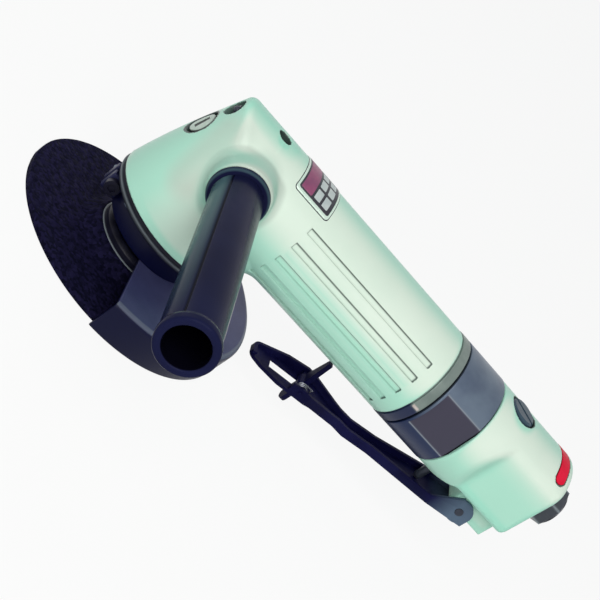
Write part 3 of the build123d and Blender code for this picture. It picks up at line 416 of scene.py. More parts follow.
print("where two walls meet, a blend of 2 mm rounds the corner by", smooth_max(0.0, 0.0, 2.0), "mm")

# %% [markdown]
# ## A net over a field
# The surface is where the field is zero. Marching cubes would find it too, in many thin triangles. A surface
# net is calmer: it has one point in each grid cell that the surface crosses, joined into quads.

# %% Surface net


def cell_points(grid, value):
    """One point in each crossed cell, the mean of the crossings on its edges, and a grid of their numbers."""
    inside = value < 0
    cells = tuple(size - 1 for size in value.shape)
    shifts = np.array(list(itertools.product((0, 1), repeat=3)))
    views = [inside[i:i + cells[0], j:j + cells[1], k:k + cells[2]] for i, j, k in shifts]
    count = sum(view.astype(np.int8) for view in views)
    crossed = np.argwhere((count > 0) & (count < 8))
    number = np.full(cells, -1)
    number[tuple(crossed.T)] = np.arange(len(crossed))
    total, hits = np.zeros((len(crossed), 3)), np.zeros(len(crossed))
    for low, high in itertools.combinations(shifts, 2):
        if np.abs(high - low).sum() > 1:
            continue
        ends = [tuple((crossed + end).T) for end in (low, high)]
        first, last = value[ends[0]], value[ends[1]]
        cut = (first < 0) != (last < 0)
        share = np.where(cut, first / np.where(cut, first - last, 1), 0)[:, None]
        total += cut[:, None] * (grid[ends[0]] * (1 - share) + grid[ends[1]] * share)
        hits += cut
    return total / hits[:, None], number


def ring_quads(inside, number):
    """A quad round each crossed grid line, through the points of its four cells, facing outwards."""
    ahead = np.eye(3, dtype=int)
    quads = []
    for axis, length in enumerate(inside.shape):
        second, third = ahead[axis - 2], ahead[axis - 1]
        before = np.take(inside, range(length - 1), axis)
        after = np.take(inside, range(1, length), axis)
        lines = np.argwhere(before != after)
        ring = [lines, lines - second, lines - second - third, lines - third]
        faces = np.stack([number[tuple(corner.T)] for corner in ring], -1)
        outward = before[tuple(lines.T)]
        quads.append(np.where(outward[:, None], faces, faces[:, ::-1]))
    return np.concatenate(quads)


def settled(field, points, quads):
    """The points evened out between their neighbours and slid down the field's gradient onto the surface."""
    meets = np.bincount(quads.ravel(), minlength=len(points))[:, None] * 2
    for _ in range(3):
        around = np.zeros_like(points)
        for corner in range(4):
            beside = points[quads[:, corner - 1]] + points[quads[:, (corner + 1) % 4]]
            np.add.at(around, quads[:, corner], beside)
        points = 0.5 * points + 0.5 * around / meets
        for _ in range(3):
            lead = slope(field, points)
            points = points - (field(points) / (lead ** 2).sum(-1))[:, None] * lead
    return points


def net(field, axes):
    """Points and quads where the field is zero."""
    grid = np.stack(np.meshgrid(*axes, indexing="ij"), -1)
    value = field(grid)
    points, number = cell_points(grid, value)
    quads = ring_quads(value < 0, number)
    return settled(field, points, quads), quads


ball_points, ball_quads = net(lambda at: np.linalg.norm(at, axis=-1) - 4, [np.linspace(-5, 5, 11)] * 3)
ball_error = np.abs(np.linalg.norm(ball_points, axis=1) - 4).max()
print(f"a trial ball of 4 mm: {len(ball_quads)} quads, off by {ball_error:.4f} mm at most")

# %% [markdown]
# ## Painted shade tint on a casting
# The pale paint is given a cooler painted shade tint where it faces away from the light. What counts is how a
# wide stretch of the surface faces, so the slope is taken over some millimetres, and grooves and edges don't
# draw stripes of their own. Shading takes the field's gradient, which is smoother than the net.

# %% Casting skin
# the light's direction, which the painted shade tint follows
lit_side = np.array([0.0, -0.743, 0.669])
facing_reach = 4.0  # mm over which the surface's facing is taken
shade_tint_most = 0.78
shade_tint_limit = 0.95


def shade_tint_by_facing(facing):
    """No painted shade tint where the surface faces the light, the most sideways of it, and less than half
    behind.
    """
    return (shade_tint_most - shade_tint_most * ease(facing, 0.60, 0.95)) * (0.45 + 0.55 * ease(facing, -0.5, 0.2))


def cast_skin(name, field, axes, painted_shade, extra_shade_tint):
    """A net over a field, shaded with the field's own gradient. Each point carries its painted shade, and its
    painted shade tint by the way it faces and by where it is."""
    points, quads = net(field, axes)
    mesh = fill_mesh(name, points, quads)
    mesh.shade_smooth()
    lead = slope(field, points)
    mesh.normals_split_custom_set_from_vertices(lead / np.linalg.norm(lead, axis=1)[:, None])
    mark(mesh, "painted_shade", painted_shade(points))
    wide = slope(field, points, step=facing_reach)
    facing = wide @ lit_side / np.linalg.norm(wide, axis=1)
    mark(mesh, "shade_tint", np.clip(shade_tint_by_facing(facing) + extra_shade_tint(points), 0, shade_tint_limit))
    return mesh


def grid_lines(*stretches):
    """Grid lines along one axis: each stretch is (start, end, spacing)."""
    parts = [np.arange(start, end - spacing / 2, spacing) for start, end, spacing in stretches]
    return np.concatenate(parts + [np.array([stretches[-1][1]])])


# how much painted shade tint the paint takes facing away, sideways and towards the light
print("cool paint behind, sideways and facing the light:", shade_tint_by_facing(np.array([-1, 0, 1])).round(2))

# %% [markdown]
# ## Barrel and angle head
# One aluminium casting. The head is a cone about the spindle that meets the barrel's top in a soft corner,
# its cheeks run tangent into the barrel, and a wide fillet fills the throat below. A short boss carries the
# handle, a low pad on the far side holds a spare thread, and six grooves run along each side for grip.

# %% Housing shape
barrel_radius = 24.2
barrel_end = 113.8
head_drop = 32.0  # the head's lower face, below the barrel's axis
head_base = 31.6
head_belt = 30.2
belt_drop = 18.0
head_crown = 19.85
crown_rise = 25.0
cheek_flare = 0.6
cheek_rise = 6.0
throat_fillet = 10.0
boss_root = 15.6
boss_tip = 13.2
boss_reach = 28.4
boss_lean = 0.996  # cosine of the boss's taper
handle_rise = 5.0
pad_radius = 8.4
pad_end = 25.2
socket_hole = 4.25
socket_floor = 13.2
flute_first = 35.0  # degrees up from the side
flute_pitch = 19.8
flute_half = 1.4
flute_depth = 1.0
flute_ends = (30.5, 106.5)
flute_edge = 0.5
plug_rise = 2.2
plug_hole = 6.8
plug_floor = -20.1
nipple_rise = 16.5
nipple_spot = 4.6
nipple_floor = -19.2
top_hole = 3.3
top_floor = 19.2
hole_edge = 0.7
cast_edge = 0.8


def line_side(radius, height, first, last):
    """Distance outside a straight side that runs through two (radius, height) points, first below last."""
    along = np.subtract(last, first) / np.hypot(*np.subtract(last, first))
    return (radius - first[0]) * along[1] - (height - first[1]) * along[0]


def head_cone(x, y, z):
    """The head turned about the spindle: base and belt sides and a flat lower face."""
    radius = np.hypot(x, y)
    base, belt, crown = (head_base, -head_drop), (head_belt, -belt_drop), (head_crown, crown_rise)
    sides = smooth_max(line_side(radius, z, base, belt), line_side(radius, z, belt, crown), 3.0)
    return smooth_max(sides, -head_drop - z, cast_edge)


def flute_place(y, z):
    """Distance to the middle of the nearest of six grooves on each side, measured round the barrel."""
    around = np.degrees(np.arctan2(z, np.abs(y)))
    number = np.clip(np.round((flute_first - around) / flute_pitch), 0, 5)
    return np.hypot(y, z) * np.sin(np.radians(around - flute_first + number * flute_pitch))


def flute_field(x, y, z):
    """A square slot along X at each groove's place."""
    floor = barrel_radius - flute_depth - np.hypot(y, z)
    slot = smooth_max(np.abs(flute_place(y, z)) - flute_half, floor, flute_edge)
    middle, half = sum(flute_ends) / 2, (flute_ends[1] - flute_ends[0]) / 2
    return smooth_max(slot, np.abs(x - middle) - half, flute_edge)


def housing_field(points):
    """Barrel, head, cheeks, boss and pad joined with fillets, less the grooves and holes."""
    x, y, z = np.moveaxis(points, -1, 0)
    barrel = np.hypot(y, z) - barrel_radius
    cheeks = (np.abs(y) - barrel_radius + cheek_flare * z) / np.hypot(1, cheek_flare)
    cheeks = smooth_max(cheeks, z - cheek_rise, 2.0)
    front = smooth_max(smooth_min(barrel, cheeks, 6.0), head_cone(x, y, z), 2.6)
    rear = np.maximum(barrel, -x)
    throat = 0.2 + throat_fillet * ease(x, 6, 22) * ease(-z, 8, 20)
    body = smooth_min(front, rear, throat)
    from_handle = np.hypot(x, z - handle_rise)
    boss = (from_handle - boss_root - (boss_root - boss_tip) * y / boss_reach) * boss_lean
    body = smooth_min(body, np.maximum(smooth_max(boss, -y - boss_reach, 1.2), y), 2.2)
    pad = smooth_max(from_handle - pad_radius, y - pad_end, cast_edge)
    body = smooth_min(body, np.maximum(pad, -y), 1.6)
    body = smooth_max(body, -flute_field(x, y, z), flute_edge)
    plug = np.maximum(np.hypot(y, z - plug_rise) - plug_hole, x - plug_floor)
    spot = np.maximum(np.hypot(y, z - nipple_rise) - nipple_spot, x - nipple_floor)
    hanger = np.maximum(np.hypot(x, y) - top_hole, top_floor - z)
    socket = np.maximum(from_handle - socket_hole, socket_floor - y)
    for hole in (plug, spot, hanger, socket):
        body = smooth_max(body, -hole, hole_edge)
    return smooth_max(body, x - barrel_end, cast_edge)


print(f"the field half way along the barrel's axis is {housing_field(np.array([60.0, 0, 0])):.1f} mm")

# %% [markdown]
# ## Painted shade on the housing
# Shade is painted along the grooves' walls, more on one side, in the holes, round the boss and down the
# head's side. The net's grid is fine where forms are small and wide along the plain barrel, which saves most
# of the points.

# %% Housing marks and skin
shade_line_width = 0.35
cheek_top = np.array([-17.0, -13.0, 13.0])
cheek_bottom = np.array([-16.0, -22.0, -9.0])


def cheek(points):
    """1 along a line down the head's side, between plug and boss, fading out round it."""
    run = cheek_bottom - cheek_top
    share = np.clip((points - cheek_top) @ run / (run ** 2).sum(), 0, 1)
    return ease(-np.linalg.norm(points - cheek_top - share[:, None] * run, axis=1), -12, -3)


def housing_painted_shade(points):
    """Painted shade on the grooves' walls, more on one side, in holes, round the boss and down the head's
    side.
    """
    x, y, z = points.T
    across = flute_place(y, z)
    # painted shade, heavier on one wall of each groove and at its rear end
    wall = (0.6 + 0.3 * np.sign(across)) * bell(np.abs(across) - flute_half, shade_line_width)
    ends = 0.5 * bell(x - flute_ends[0], shade_line_width) + 0.9 * bell(x - flute_ends[1], shade_line_width)
    in_flute = (np.hypot(y, z) < barrel_radius - 0.1) * (flute_field(x, y, z) < 0.25)
    from_handle = np.hypot(x, z - handle_rise)
    return np.maximum.reduce([
        np.clip(wall + ends, 0, 0.9) * in_flute,
        (np.hypot(x, y) < top_hole + 0.2) * (z > 0),
        (np.hypot(y, z - plug_rise) < plug_hole + 0.9) * (x < 0),
        0.9 * (np.hypot(y, z - nipple_rise) < nipple_spot + 0.2) * (x < 0),
        0.9 * (from_handle < socket_hole + 0.1) * (y > 0),
        0.26 * ease(-y, 15.5, 18) * ease(-from_handle, -boss_root - 2.5, -boss_root),
        0.20 * cheek(points)])


def housing_shade_tint(points):
    """More painted shade tint on the crown's top, between the head's front and the hanger's hole, less down
    the head's side.
    """
    x, y, z = points.T
    crown = ease(z, crown_rise - 4, crown_rise - 1.5) * ease(-np.hypot(x + 6, y), -17, -11)
    return 0.4 * crown - 0.40 * cheek(points)


housing_axes = (grid_lines((-34.0, 29.2, 0.6), (29.2, 32.0, 0.4), (32.0, 105.0, 2.4), (105.0, 115.4, 0.4)),
                grid_lines((-33.0, 33.0, 0.5)), grid_lines((-33.5, 26.5, 0.5)))
housing_skin = cast_skin("housing_skin", housing_field, housing_axes, housing_painted_shade, housing_shade_tint)
add_piece(housing_skin, "housing", "cast_paint", "motor_housing")

# %% [markdown]
# ## Backhead
# The rear casting starts round, as wide as the barrel, and runs out into flat sides and a flat floor. A lug
# for the lever hangs below it, and a shallow pocket across its top takes a red strip. A field lets the flats
# fade into the round part as they do in a mould.

# %% Backhead skin
back_start = 143.2
back_end = 193.2
back_flat = 18.2
back_floor = 15.5
flat_start = 161.0
flat_fade = 0.9
flat_lean = 0.8  # keeps the field's slope near 1 where the flats fade out
flat_edge = 2.6
lug_front = 171.0
lug_half = 7.9
lug_drop = 27.3
valve_x = 156.5
valve_hole = 7.4
valve_floor = 20.0
inlay_middle = 186.5
inlay_half_width = 2.95
inlay_half_span = 14.45
inlay_depth = 0.95


def inlay_distance(x, y):
    """Distance outside a round-ended strip across the top, seen from above."""
    reach = np.maximum(np.abs(y) - (inlay_half_span - inlay_half_width), 0)
    return np.hypot(x - inlay_middle, reach) - inlay_half_width


def backhead_field(points):
    """A round front that runs out into flats, a lug below, less the valve's hole and the strip's pocket."""
    x, y, z = np.moveaxis(points, -1, 0)
    radius = np.hypot(y, z)
    run = flat_fade * np.log1p(np.exp((flat_start - x) / flat_fade))
    body = smooth_max(radius - barrel_radius, (np.abs(y) - back_flat - run) * flat_lean, flat_edge)
    body = smooth_max(body, (-z - back_floor - run) * flat_lean, flat_edge)
    lug = smooth_max(np.abs(y) - lug_half, smooth_max(lug_front - x, -lug_drop - z, 1.6), 1.2)
    lug = np.maximum(lug, np.maximum(x - back_end, z))
    body = smooth_min(smooth_max(body, x - back_end, 3.4), lug, 1.8)
    body = smooth_max(smooth_max(body, x - back_end, 0.6), back_start - x, cast_edge)
    valve = np.maximum(np.hypot(x - valve_x, y) - valve_hole, valve_floor - z)
    pocket = np.maximum(inlay_distance(x, y), barrel_radius - inlay_depth - radius)
    return smooth_max(smooth_max(body, -valve, hole_edge), -np.maximum(pocket, -z), 0.4)


def backhead_painted_shade(points):
    """Painted shade round the valve's hole and the strip's pocket."""
    x, y, z = points.T
    rim = np.hypot(x - valve_x, y) < valve_hole + 0.4
    strip = inlay_distance(x, y) < 0.25
    return (z > 0) * np.maximum(rim, 0.9 * strip)


def backhead_shade_tint(points):
    """More painted shade tint on both flat sides, fading out towards the top."""
    x, y, z = points.T
    flat = ease(np.abs(y), back_flat - 12, back_flat - 1) * ease(x, flat_start - 3, flat_start + 2)
    return 0.26 * flat * ease(-z, -12, -2)


backhead_axes = (grid_lines((141.5, 195.0, 0.5)), grid_lines((-26.0, 26.0, 0.5)),
                 grid_lines((-29.0, 26.0, 0.5)))
backhead_skin = cast_skin("backhead_skin", backhead_field, backhead_axes, backhead_painted_shade, backhead_shade_tint)
add_piece(backhead_skin, "housing", "cast_paint", "backhead")

# %% [markdown]
# ## Turned pieces
# Handle, collar, rings, flange and wheel come off a lathe or out of a round mould, so each is an outline
# carried round an axis. The outline's corners carry their own small radius: no real edge is perfectly sharp,
# and the radius is what catches the light. Wrench flats and a hexagon only limit the radius at each angle.

# %% Outlines and lathe
LATHE = {"x": np.eye(3)[[1, 2, 0]], "y": np.eye(3)[[2, 0, 1]], "z": np.eye(3)}  # two radial directions, axis


def rounded(corners, arc_points=5):
    """A closed outline from corners (radius, along, round), each made an arc that touches both its sides."""
    spots = np.array([corner[:2] for corner in corners], float)
    parts = []
    for number, (_, _, arc_radius) in enumerate(corners):
        here = spots[number]
        if not arc_radius:
            parts.append(here[None])
            continue
        back, on = spots[number - 1] - here, spots[(number + 1) % len(spots)] - here
        back, on = back / np.hypot(*back), on / np.hypot(*on)
        half = np.arccos(np.clip(back @ on, -1, 1)) / 2
        middle = here + (back + on) / np.hypot(*(back + on)) * arc_radius / np.sin(half)
        first, last = here + back * arc_radius / np.tan(half), here + on * arc_radius / np.tan(half)
        share, bend = np.linspace(0, 1, arc_points)[:, None], np.pi - 2 * half
        arc = np.sin((1 - share) * bend) * (first - middle) + np.sin(share * bend) * (last - middle)
        parts.append(middle + arc / np.sin(bend))
    return np.concatenate(parts + [parts[0][:1]])


def turned(outline, axis, centre=(0, 0, 0), span=(0, 360), turns=120, limit=None):
    """Carries (radius, along) points round an axis: centre + along * axis + radius * (cosine, sine of the
    angle). A limit, where given, is the largest radius at each angle and place along."""
    angle = np.radians(np.linspace(*span, turns + 1))
    radius, along = outline[:, :1], outline[:, 1:]
    if limit:
        radius = np.minimum(radius, limit(angle[None], along))
    first, second, up = LATHE[axis]
    ring = np.cos(angle)[:, None] * first + np.sin(angle)[:, None] * second
    radius = np.broadcast_to(radius, (len(outline), len(angle)))
    return np.array(centre) + radius[..., None] * ring + along[..., None] * up


def lathe_piece(name, corners, axis, body, slot, *stands_for, sharp=35, look=None, **how):
    """Adds a closed turned piece and gives its mesh back for marks."""
    mesh = grid_mesh(name, turned(rounded(corners), axis, **how), sharp)
    add_piece(mesh, body, slot, *stands_for, look=look)
    return mesh


trial_outline = rounded([(1, 0, 0), (2, 0, 0.3), (2, 1, 0), (1, 1, 0)])
print(len(trial_outline), "outline points round a square with one soft corner")

# %% [markdown]
# ## Handle and collar
# The handle is a black moulded tube, open at its flared end, with a shallow seam where the mould's halves
# met. A blue sheen is painted on its front, from the seam down, as a mark and not a shape.

# %% Handle and collar
collar_face = -boss_reach
handle_face = -31.2
handle_tip = -138.7
handle_start = handle_face - 0.02
grip_start = 10.4
grip_end = 10.9
rim_radius = 11.5
rim_length = 3.4
rim_start = handle_tip + 1.6 * rim_length
bolt_hole = 5.05
handle_bore = 8.3
web_end = -40.2
seam_turn = -56.0  # degrees from the top, towards the front
handle_centre = (0, 0, handle_rise)


def seam_limit(angle, along):
    """The grip's own radius, less a shallow mould seam along it."""
    grip = np.interp(-along, (-handle_face, -rim_start), (grip_start, grip_end))
    off = (angle - math.radians(seam_turn) + np.pi) % (2 * np.pi) - np.pi
    return np.where(along > rim_start, grip - 0.5 * bell(off, 0.05), 2 * rim_radius)


collar = lathe_piece(
    "collar", [(bolt_hole, collar_face, 0), (12.7, collar_face, 0.7), (12.2, handle_face, 0.9),
               (bolt_hole, handle_face, 0)],
    "y", "housing", "black_gloss", "handle_collar", centre=handle_centre)
x, y, z = places(collar)
on_rim = np.hypot(x, z - handle_rise) > rim_radius
# painted highlight on the collar's front edge
mark(collar, "painted_sheen", 0.45 * bell(y - handle_face - 0.5, 0.5) * on_rim)
handle = lathe_piece(
    "handle", [(bolt_hole, handle_start, 0), (grip_start, handle_start, 0.5), (grip_end, rim_start, 1.5),
               (rim_radius, handle_tip + rim_length, 1.0), (rim_radius, handle_tip, 1.2),
               (handle_bore, handle_tip, 1.0), (handle_bore, handle_tip + 4, 0), (handle_bore, web_end, 0),
               (bolt_hole, web_end, 0)],
    "y", "housing", "black_gloss", "side_handle", centre=handle_centre, limit=seam_limit, turns=360)
x, y, z = places(handle)
out = np.hypot(x, z - handle_rise)
turned_by = np.degrees(np.arctan2(x, z - handle_rise))
# the painted sheen starts at the seam, runs down the front, and fades out below and towards the rim
painted_sheen = ease(-turned_by, -4 - seam_turn, 18 - seam_turn) * (1 - ease(-turned_by, 95, 165))
painted_sheen = painted_sheen * (out > handle_bore + 1) * ease(y, rim_start, rim_start + 14)
seam = bell(turned_by - seam_turn, 2.6) * (y > rim_start)
# painted sheen on the handle's front
mark(handle, "painted_sheen", 0.9 * painted_sheen)
# painted shade inside the bore and along the seam
mark(handle, "edge", np.maximum(out < handle_bore + 0.1, 0.9 * seam))

# %% [markdown]
# ## Grey ring and clamp nut
# A grey ring parts the barrel from the big clamp nut, whose two flats take a wrench. The flats start a little
# behind the nut's round front rim, and a narrow groove on each side keeps the nut's edges crisp. Painted
# shade darkens ring and nut underneath, the flats and the grooves, and a painted highlight runs along the
# flats' edges.

# %% Ring and nut
nut_start = 118.8
nut_end = back_start
rear_radius = 24.4
ring_groove = 23.6
front_groove = 22.8
rear_groove = 23.2
spigot_hole = 21.05
neck_hole = 19.65
lip_start = 140.0
nut_flat = 22.2
nut_turn = math.radians(-5.5)
flat_front = 120.9
pale_spot_turn = 92  # degrees from the top to a small pale spot on the ring
pale_spot_place = 116.4
pale_spot_half = 1.6


def nut_limit(angle, along):
    """Two opposite flats behind the front rim."""
    flat = nut_flat / np.maximum(np.abs(np.cos(angle - nut_turn)), 0.5)
    return np.where(along > flat_front, flat, 2 * nut_flat)


def from_top(y, z):
    """Degrees from the barrel's top towards the handle's side."""
    return np.degrees(np.arctan2(-y, z))


ring = lathe_piece(
    "ring", [(spigot_hole, barrel_end, 0), (ring_groove, barrel_end, 0), (ring_groove, barrel_end + 0.4, 0),
             (rear_radius, barrel_end + 0.6, 0.2), (rear_radius, barrel_end + 1.4, 0),
             (rear_radius, nut_start - 1.2, 0), (rear_radius, nut_start, 0.3), (spigot_hole, nut_start, 0)],
    "x", "housing", "ring_grey", "spacer_ring", turns=240)
x, y, z = places(ring)
turn = from_top(y, z)
# painted shade: the ring turns navy over its lower half
mark(ring, "shade", ease(np.abs(turn), 91, 96))
# a small pinkish pale spot on the ring's near side
mark(ring, "pale_spot", (np.abs(turn - pale_spot_turn) < pale_spot_half) * (np.abs(x - pale_spot_place) < pale_spot_half))
nut = lathe_piece(
    "nut", [(spigot_hole, nut_start, 0), (front_groove, nut_start, 0), (front_groove, nut_start + 0.9, 0),
            (rear_radius, nut_start + 1.1, 0.3), (rear_radius, flat_front, 0),
            (rear_radius, flat_front + 0.01, 0), (rear_radius, nut_end - 0.9, 0.2),
            (rear_groove, nut_end - 0.6, 0), (rear_groove, nut_end, 0), (neck_hole, nut_end, 0),
            (neck_hole, lip_start, 0), (spigot_hole, lip_start, 0)],
    "x", "housing", "blued_steel", "clamp_nut", limit=nut_limit, turns=360, sharp=12)
x, y, z = places(nut)
turn = np.abs(from_top(y, z))
off_flat = np.abs(turn - 90 + np.degrees(nut_turn) * np.sign(y))
flat_half = math.degrees(math.acos(nut_flat / rear_radius))
round_wall = (np.hypot(y, z) > nut_flat - 0.1) & (x > nut_start + 0.95) & (x < nut_end - 0.65)
# painted shade, darker down the nut's sides and underneath
mark(nut, "shade", ease(turn, 70, 118))
# painted shade on the flats
mark(nut, "flat", (off_flat < flat_half) * (x > flat_front))
# painted highlight along the flats' edges
mark(nut, "painted_highlight", 0.8 * bell(off_flat - flat_half, 0.7) * (x > flat_front))
# painted shade in the grooves at both ends
mark(nut, "groove_shade", ~round_wall)

# %% [markdown]
# ## Air inlet
# The bushing at the very end is a hexagon with its corners turned off, so the outline's slope cuts the flats
# in curves. It is blackened steel, with a painted grey highlight along its corners; cap and flange share the
# finish.

# %% Air inlet
hexagon_start = 194.8
hexagon_half = 9.5
hexagon_round = 10.97
inlet_collar = 11.6
inlet_undercut = 10.2
inlet_end = 203.3
inlet_bore = 5.7
inlet_rise = 4.0
finish("cap_black", ((0.004, 0.004, 0.012), (0.010, 0.010, 0.024)), 6, 0.4, 0.006, (0.3, 0.42), shine=0.2)
# painted highlight, used on the inlet's corners and the rims of cap and flange
tint("cap_black", "glint", (0.30, 0.34, 0.38))


def hexagon_limit(angle, along):
    """Six flats behind the round collar."""
    sixth = np.pi / 3
    flat = hexagon_half / np.cos((angle + sixth / 2) % sixth - sixth / 2)
    return np.where(along > hexagon_start - 0.01, flat, 2 * hexagon_half)


inlet = lathe_piece(
    "inlet", [(inlet_bore, back_end, 0), (inlet_collar, back_end, 0.3), (inlet_collar, hexagon_start, 0.4),
              (inlet_undercut, hexagon_start, 0), (inlet_undercut, hexagon_start + 0.6, 0),
              (hexagon_round, hexagon_start + 0.6, 0), (hexagon_round, inlet_end - 1.3, 0),
              (9.0, inlet_end, 0.3), (inlet_bore + 0.6, inlet_end, 0.3), (inlet_bore, inlet_end - 0.8, 0)],
    "x", "housing", "dark_metal", "inlet_bushing", look="cap_black", centre=(0, 0, inlet_rise),
    limit=hexagon_limit, turns=240, sharp=20)
x, y, z = places(inlet)
corner = np.degrees(np.arctan2(z - inlet_rise, y)) % 60 - 30
on_hexagon = (x > hexagon_start + 0.5) * (x < inlet_end - 0.2)
# painted highlight on the hexagon's corners, a paler grey over its flats
mark(inlet, "glint", on_hexagon * (0.16 + 0.6 * bell(corner, 3)))

# %% [markdown]
# ## Cap, flange and wheel
# Under the head sit the bearing cap with its dark flange, the driving flange and the wheel with its pressed
# centre. A groove under the head leaves the cap's rim as a thin line, and a highlight is painted on it and on
# the flange's lip. The wheel's rim is never quite round: a sum of a few waves chips it slightly.

# %% Cap, flange and wheel
head_face = -head_drop
neck_top = -36.0
neck_end = -47.0
neck_radius = 21.0
cap_hole = 12.6
cap_rim = 31.5
cap_groove = 30.2
cap_spigot = 25.0
bearing_seat = 17.55
bearing_top = -26.0
bearing_floor = -45.0
flange_top = -50.65
flange_rim = 20.5
flange_side = 19.7
flange_neck = 10.0
shaft_hole = 7.55
pilot_radius = 11.05
wheel_hole = 11.1
wheel_radius = 55.0
hub_top = -55.15
pilot_end = hub_top - 2.6
hub_bottom = -58.15
disc_top = -60.15
disc_bottom = -63.15


def rim_limit(angle, along):
    """The wheel's radius, worn in shallow waves."""
    waves = 0.06 * np.sin(7 * angle + 1) + 0.05 * np.sin(23 * angle) + 0.04 * np.sin(51 * angle + 2)
    return wheel_radius - 0.1 + waves


def rim_glint(mesh, rim, amount):
    """A painted highlight on the last bit of a rim's radius about the spindle."""
    x, y, _ = places(mesh)
    mark(mesh, "glint", amount * (np.hypot(x, y) > rim - 0.3))


cap = lathe_piece(
    "cap", [(cap_hole, neck_end, 0), (neck_radius, neck_end, 0.6), (neck_radius, neck_top, 0.8),
            (30.8, neck_top, 0.5), (cap_rim, head_face - 2.4, 0.15), (cap_rim, head_face - 2.0, 0.15),
            (cap_groove, head_face - 1.8, 0.2), (cap_groove, head_face - 0.03, 0),
            (cap_spigot, head_face - 0.03, 0), (cap_spigot, bearing_top, 0), (bearing_seat, bearing_top, 0),
            (bearing_seat, bearing_floor, 0), (cap_hole, bearing_floor, 0)],
    "z", "housing", "dark_metal", "bearing_cap", look="cap_black")
# painted highlight on the cap's rim
rim_glint(cap, cap_rim, 0.4)
flange = lathe_piece(
    "flange", [(shaft_hole, pilot_end, 0), (pilot_radius, pilot_end, 0), (pilot_radius, hub_top, 0),
               (flange_rim, hub_top, 0.1), (flange_rim, hub_top + 0.35, 0.1), (flange_side, hub_top + 0.5, 0),
               (flange_side, flange_top - 1.8, 0.4), (18.0, flange_top, 0.5), (flange_neck, flange_top, 0.5),
               (flange_neck, neck_end + 2, 0), (shaft_hole, neck_end + 2, 0)],
    "z", "spindle", "dark_metal", "inner_flange", look="cap_black")
# painted highlight on the flange's lip
rim_glint(flange, flange_rim, 0.8)
lathe_piece(
    "wheel", [(wheel_hole, hub_top, 0), (21.5, hub_top, 2.0), (26.5, disc_top, 2.5),
              (wheel_radius, disc_top, 0.5), (wheel_radius, disc_bottom, 0.5), (24.8, disc_bottom, 1.5),
              (20.0, hub_bottom, 1.5), (wheel_hole, hub_bottom, 0)],
    "z", "spindle", "wheel_grit", "grinding_wheel", limit=rim_limit, turns=240)

# %% [markdown]
# ## Guard
# A half cover pressed from sheet: one section with a folded corner, swept through a little over half a turn.
# Its cut ends are eased by thinning the wall over the last step. A split band with two ears clamps it to the
# neck; each ear is a rounded box, which is a sphere whose eight corners have been pulled apart.

# %% Guard, band and ears
guard_radius = 59.2
guard_wall = 2.0
guard_floor = -63.0
guard_round = 2.6
guard_soft = 0.7
guard_span = 183.6  # degrees
guard_steps = 120
guard_eye = 13.7
band_inside = 21.05
band_outside = 23.65
band_top = -38.0
slit_half = 1.2
ear_side = 5.2
ear_reach = 7.0


def guard_grid():
    """The wall's section, outside from eye to rim and inside back with as many points, at each angle of the
    span. At both ends it is drawn towards its own middle line."""
    inner, under = guard_radius - guard_wall, neck_end - guard_wall
    section = rounded([(guard_eye, neck_end, 0), (guard_radius, neck_end, guard_round),
                       (guard_radius, guard_floor, guard_soft), (inner, guard_floor, guard_soft),
                       (inner, under, guard_round - guard_wall), (guard_eye, under, 0)], arc_points=7)[:-1]
    middle = (section + section[::-1]) / 2
    section, middle = (np.concatenate([line, line[:1]])[:, None] for line in (section, middle))
    end = guard_span / 2
    eased = np.degrees(guard_soft / guard_radius) * np.array([0.0, 0.0, 0.3, 1.0])
    between = np.linspace(1 - end, end - 1, guard_steps)
    angle = np.radians(np.concatenate([-end + eased, between, end - eased[::-1]]))
    share = np.array([0.0, 0.55, 0.85, 1.0])
    wall = middle + (section - middle) * np.concatenate([share, np.ones(guard_steps), share[::-1]])[:, None]
    return np.stack([wall[..., 0] * np.cos(angle), wall[..., 0] * np.sin(angle), wall[..., 1]], -1)


def rounded_box(low, high, soft, rings=24):
    """A sphere of radius soft whose points are moved out to the nearest corner of a smaller box."""
    low, high = np.array(low, float), np.array(high, float)
    tilt = np.linspace(-np.pi / 2, np.pi / 2, rings)[:, None]
    around = np.linspace(0, 2 * np.pi, 2 * rings)[None] + 0.01
    ball = (np.cos(tilt) * np.cos(around), np.cos(tilt) * np.sin(around), np.sin(tilt))
    ball = np.stack(np.broadcast_arrays(*ball), -1)
    return (low + high) / 2 + np.sign(ball) * ((high - low) / 2 - soft) + ball * soft


cover = add_piece(grid_mesh("guard", guard_grid()), "guard", "guard_paint", "wheel_guard")
x, y, z = places(cover.data)
out = np.hypot(x, y)
# painted shade on the skirt below the top plate
mark(cover.data, "guard_shade", z < neck_end - 0.8)
# painted highlight along the guard's outer fold
mark(cover.data, "painted_highlight", 0.5 * (out > guard_radius - 2.0) * (out < guard_radius - 0.1) * (z > neck_end - 1.2))
slit = np.degrees(slit_half / band_outside)
band = lathe_piece(
    "guard_band", [(band_inside, neck_end, 0.3), (band_outside, neck_end, 0.3), (band_outside, band_top, 0.5),
                   (band_inside, band_top, 0.3)],
    "z", "guard", "guard_paint", span=(180 + slit, 540 - slit))
# painted shade: the band near black
mark(band, "guard_shade", 1.0)
for name, side in (("ear_near", -1), ("ear_far", 1)):
    first, last = sorted((side * slit_half, side * ear_side))
    box = rounded_box((-band_outside - ear_reach, first, neck_end), (-band_inside - 1.0, last, band_top), 0.8)
    ear = add_piece(grid_mesh(name, box), "guard", "guard_paint")
    # painted shade on the ears
    mark(ear.data, "guard_shade", 0.7)

# %% [markdown]
# ## Front plug
# A zinc-plated screw closes the head's front. Its face follows the cone, just below the surface, so it is
# worked out from the cone itself: a disc of rings, with a slot sunk across it.

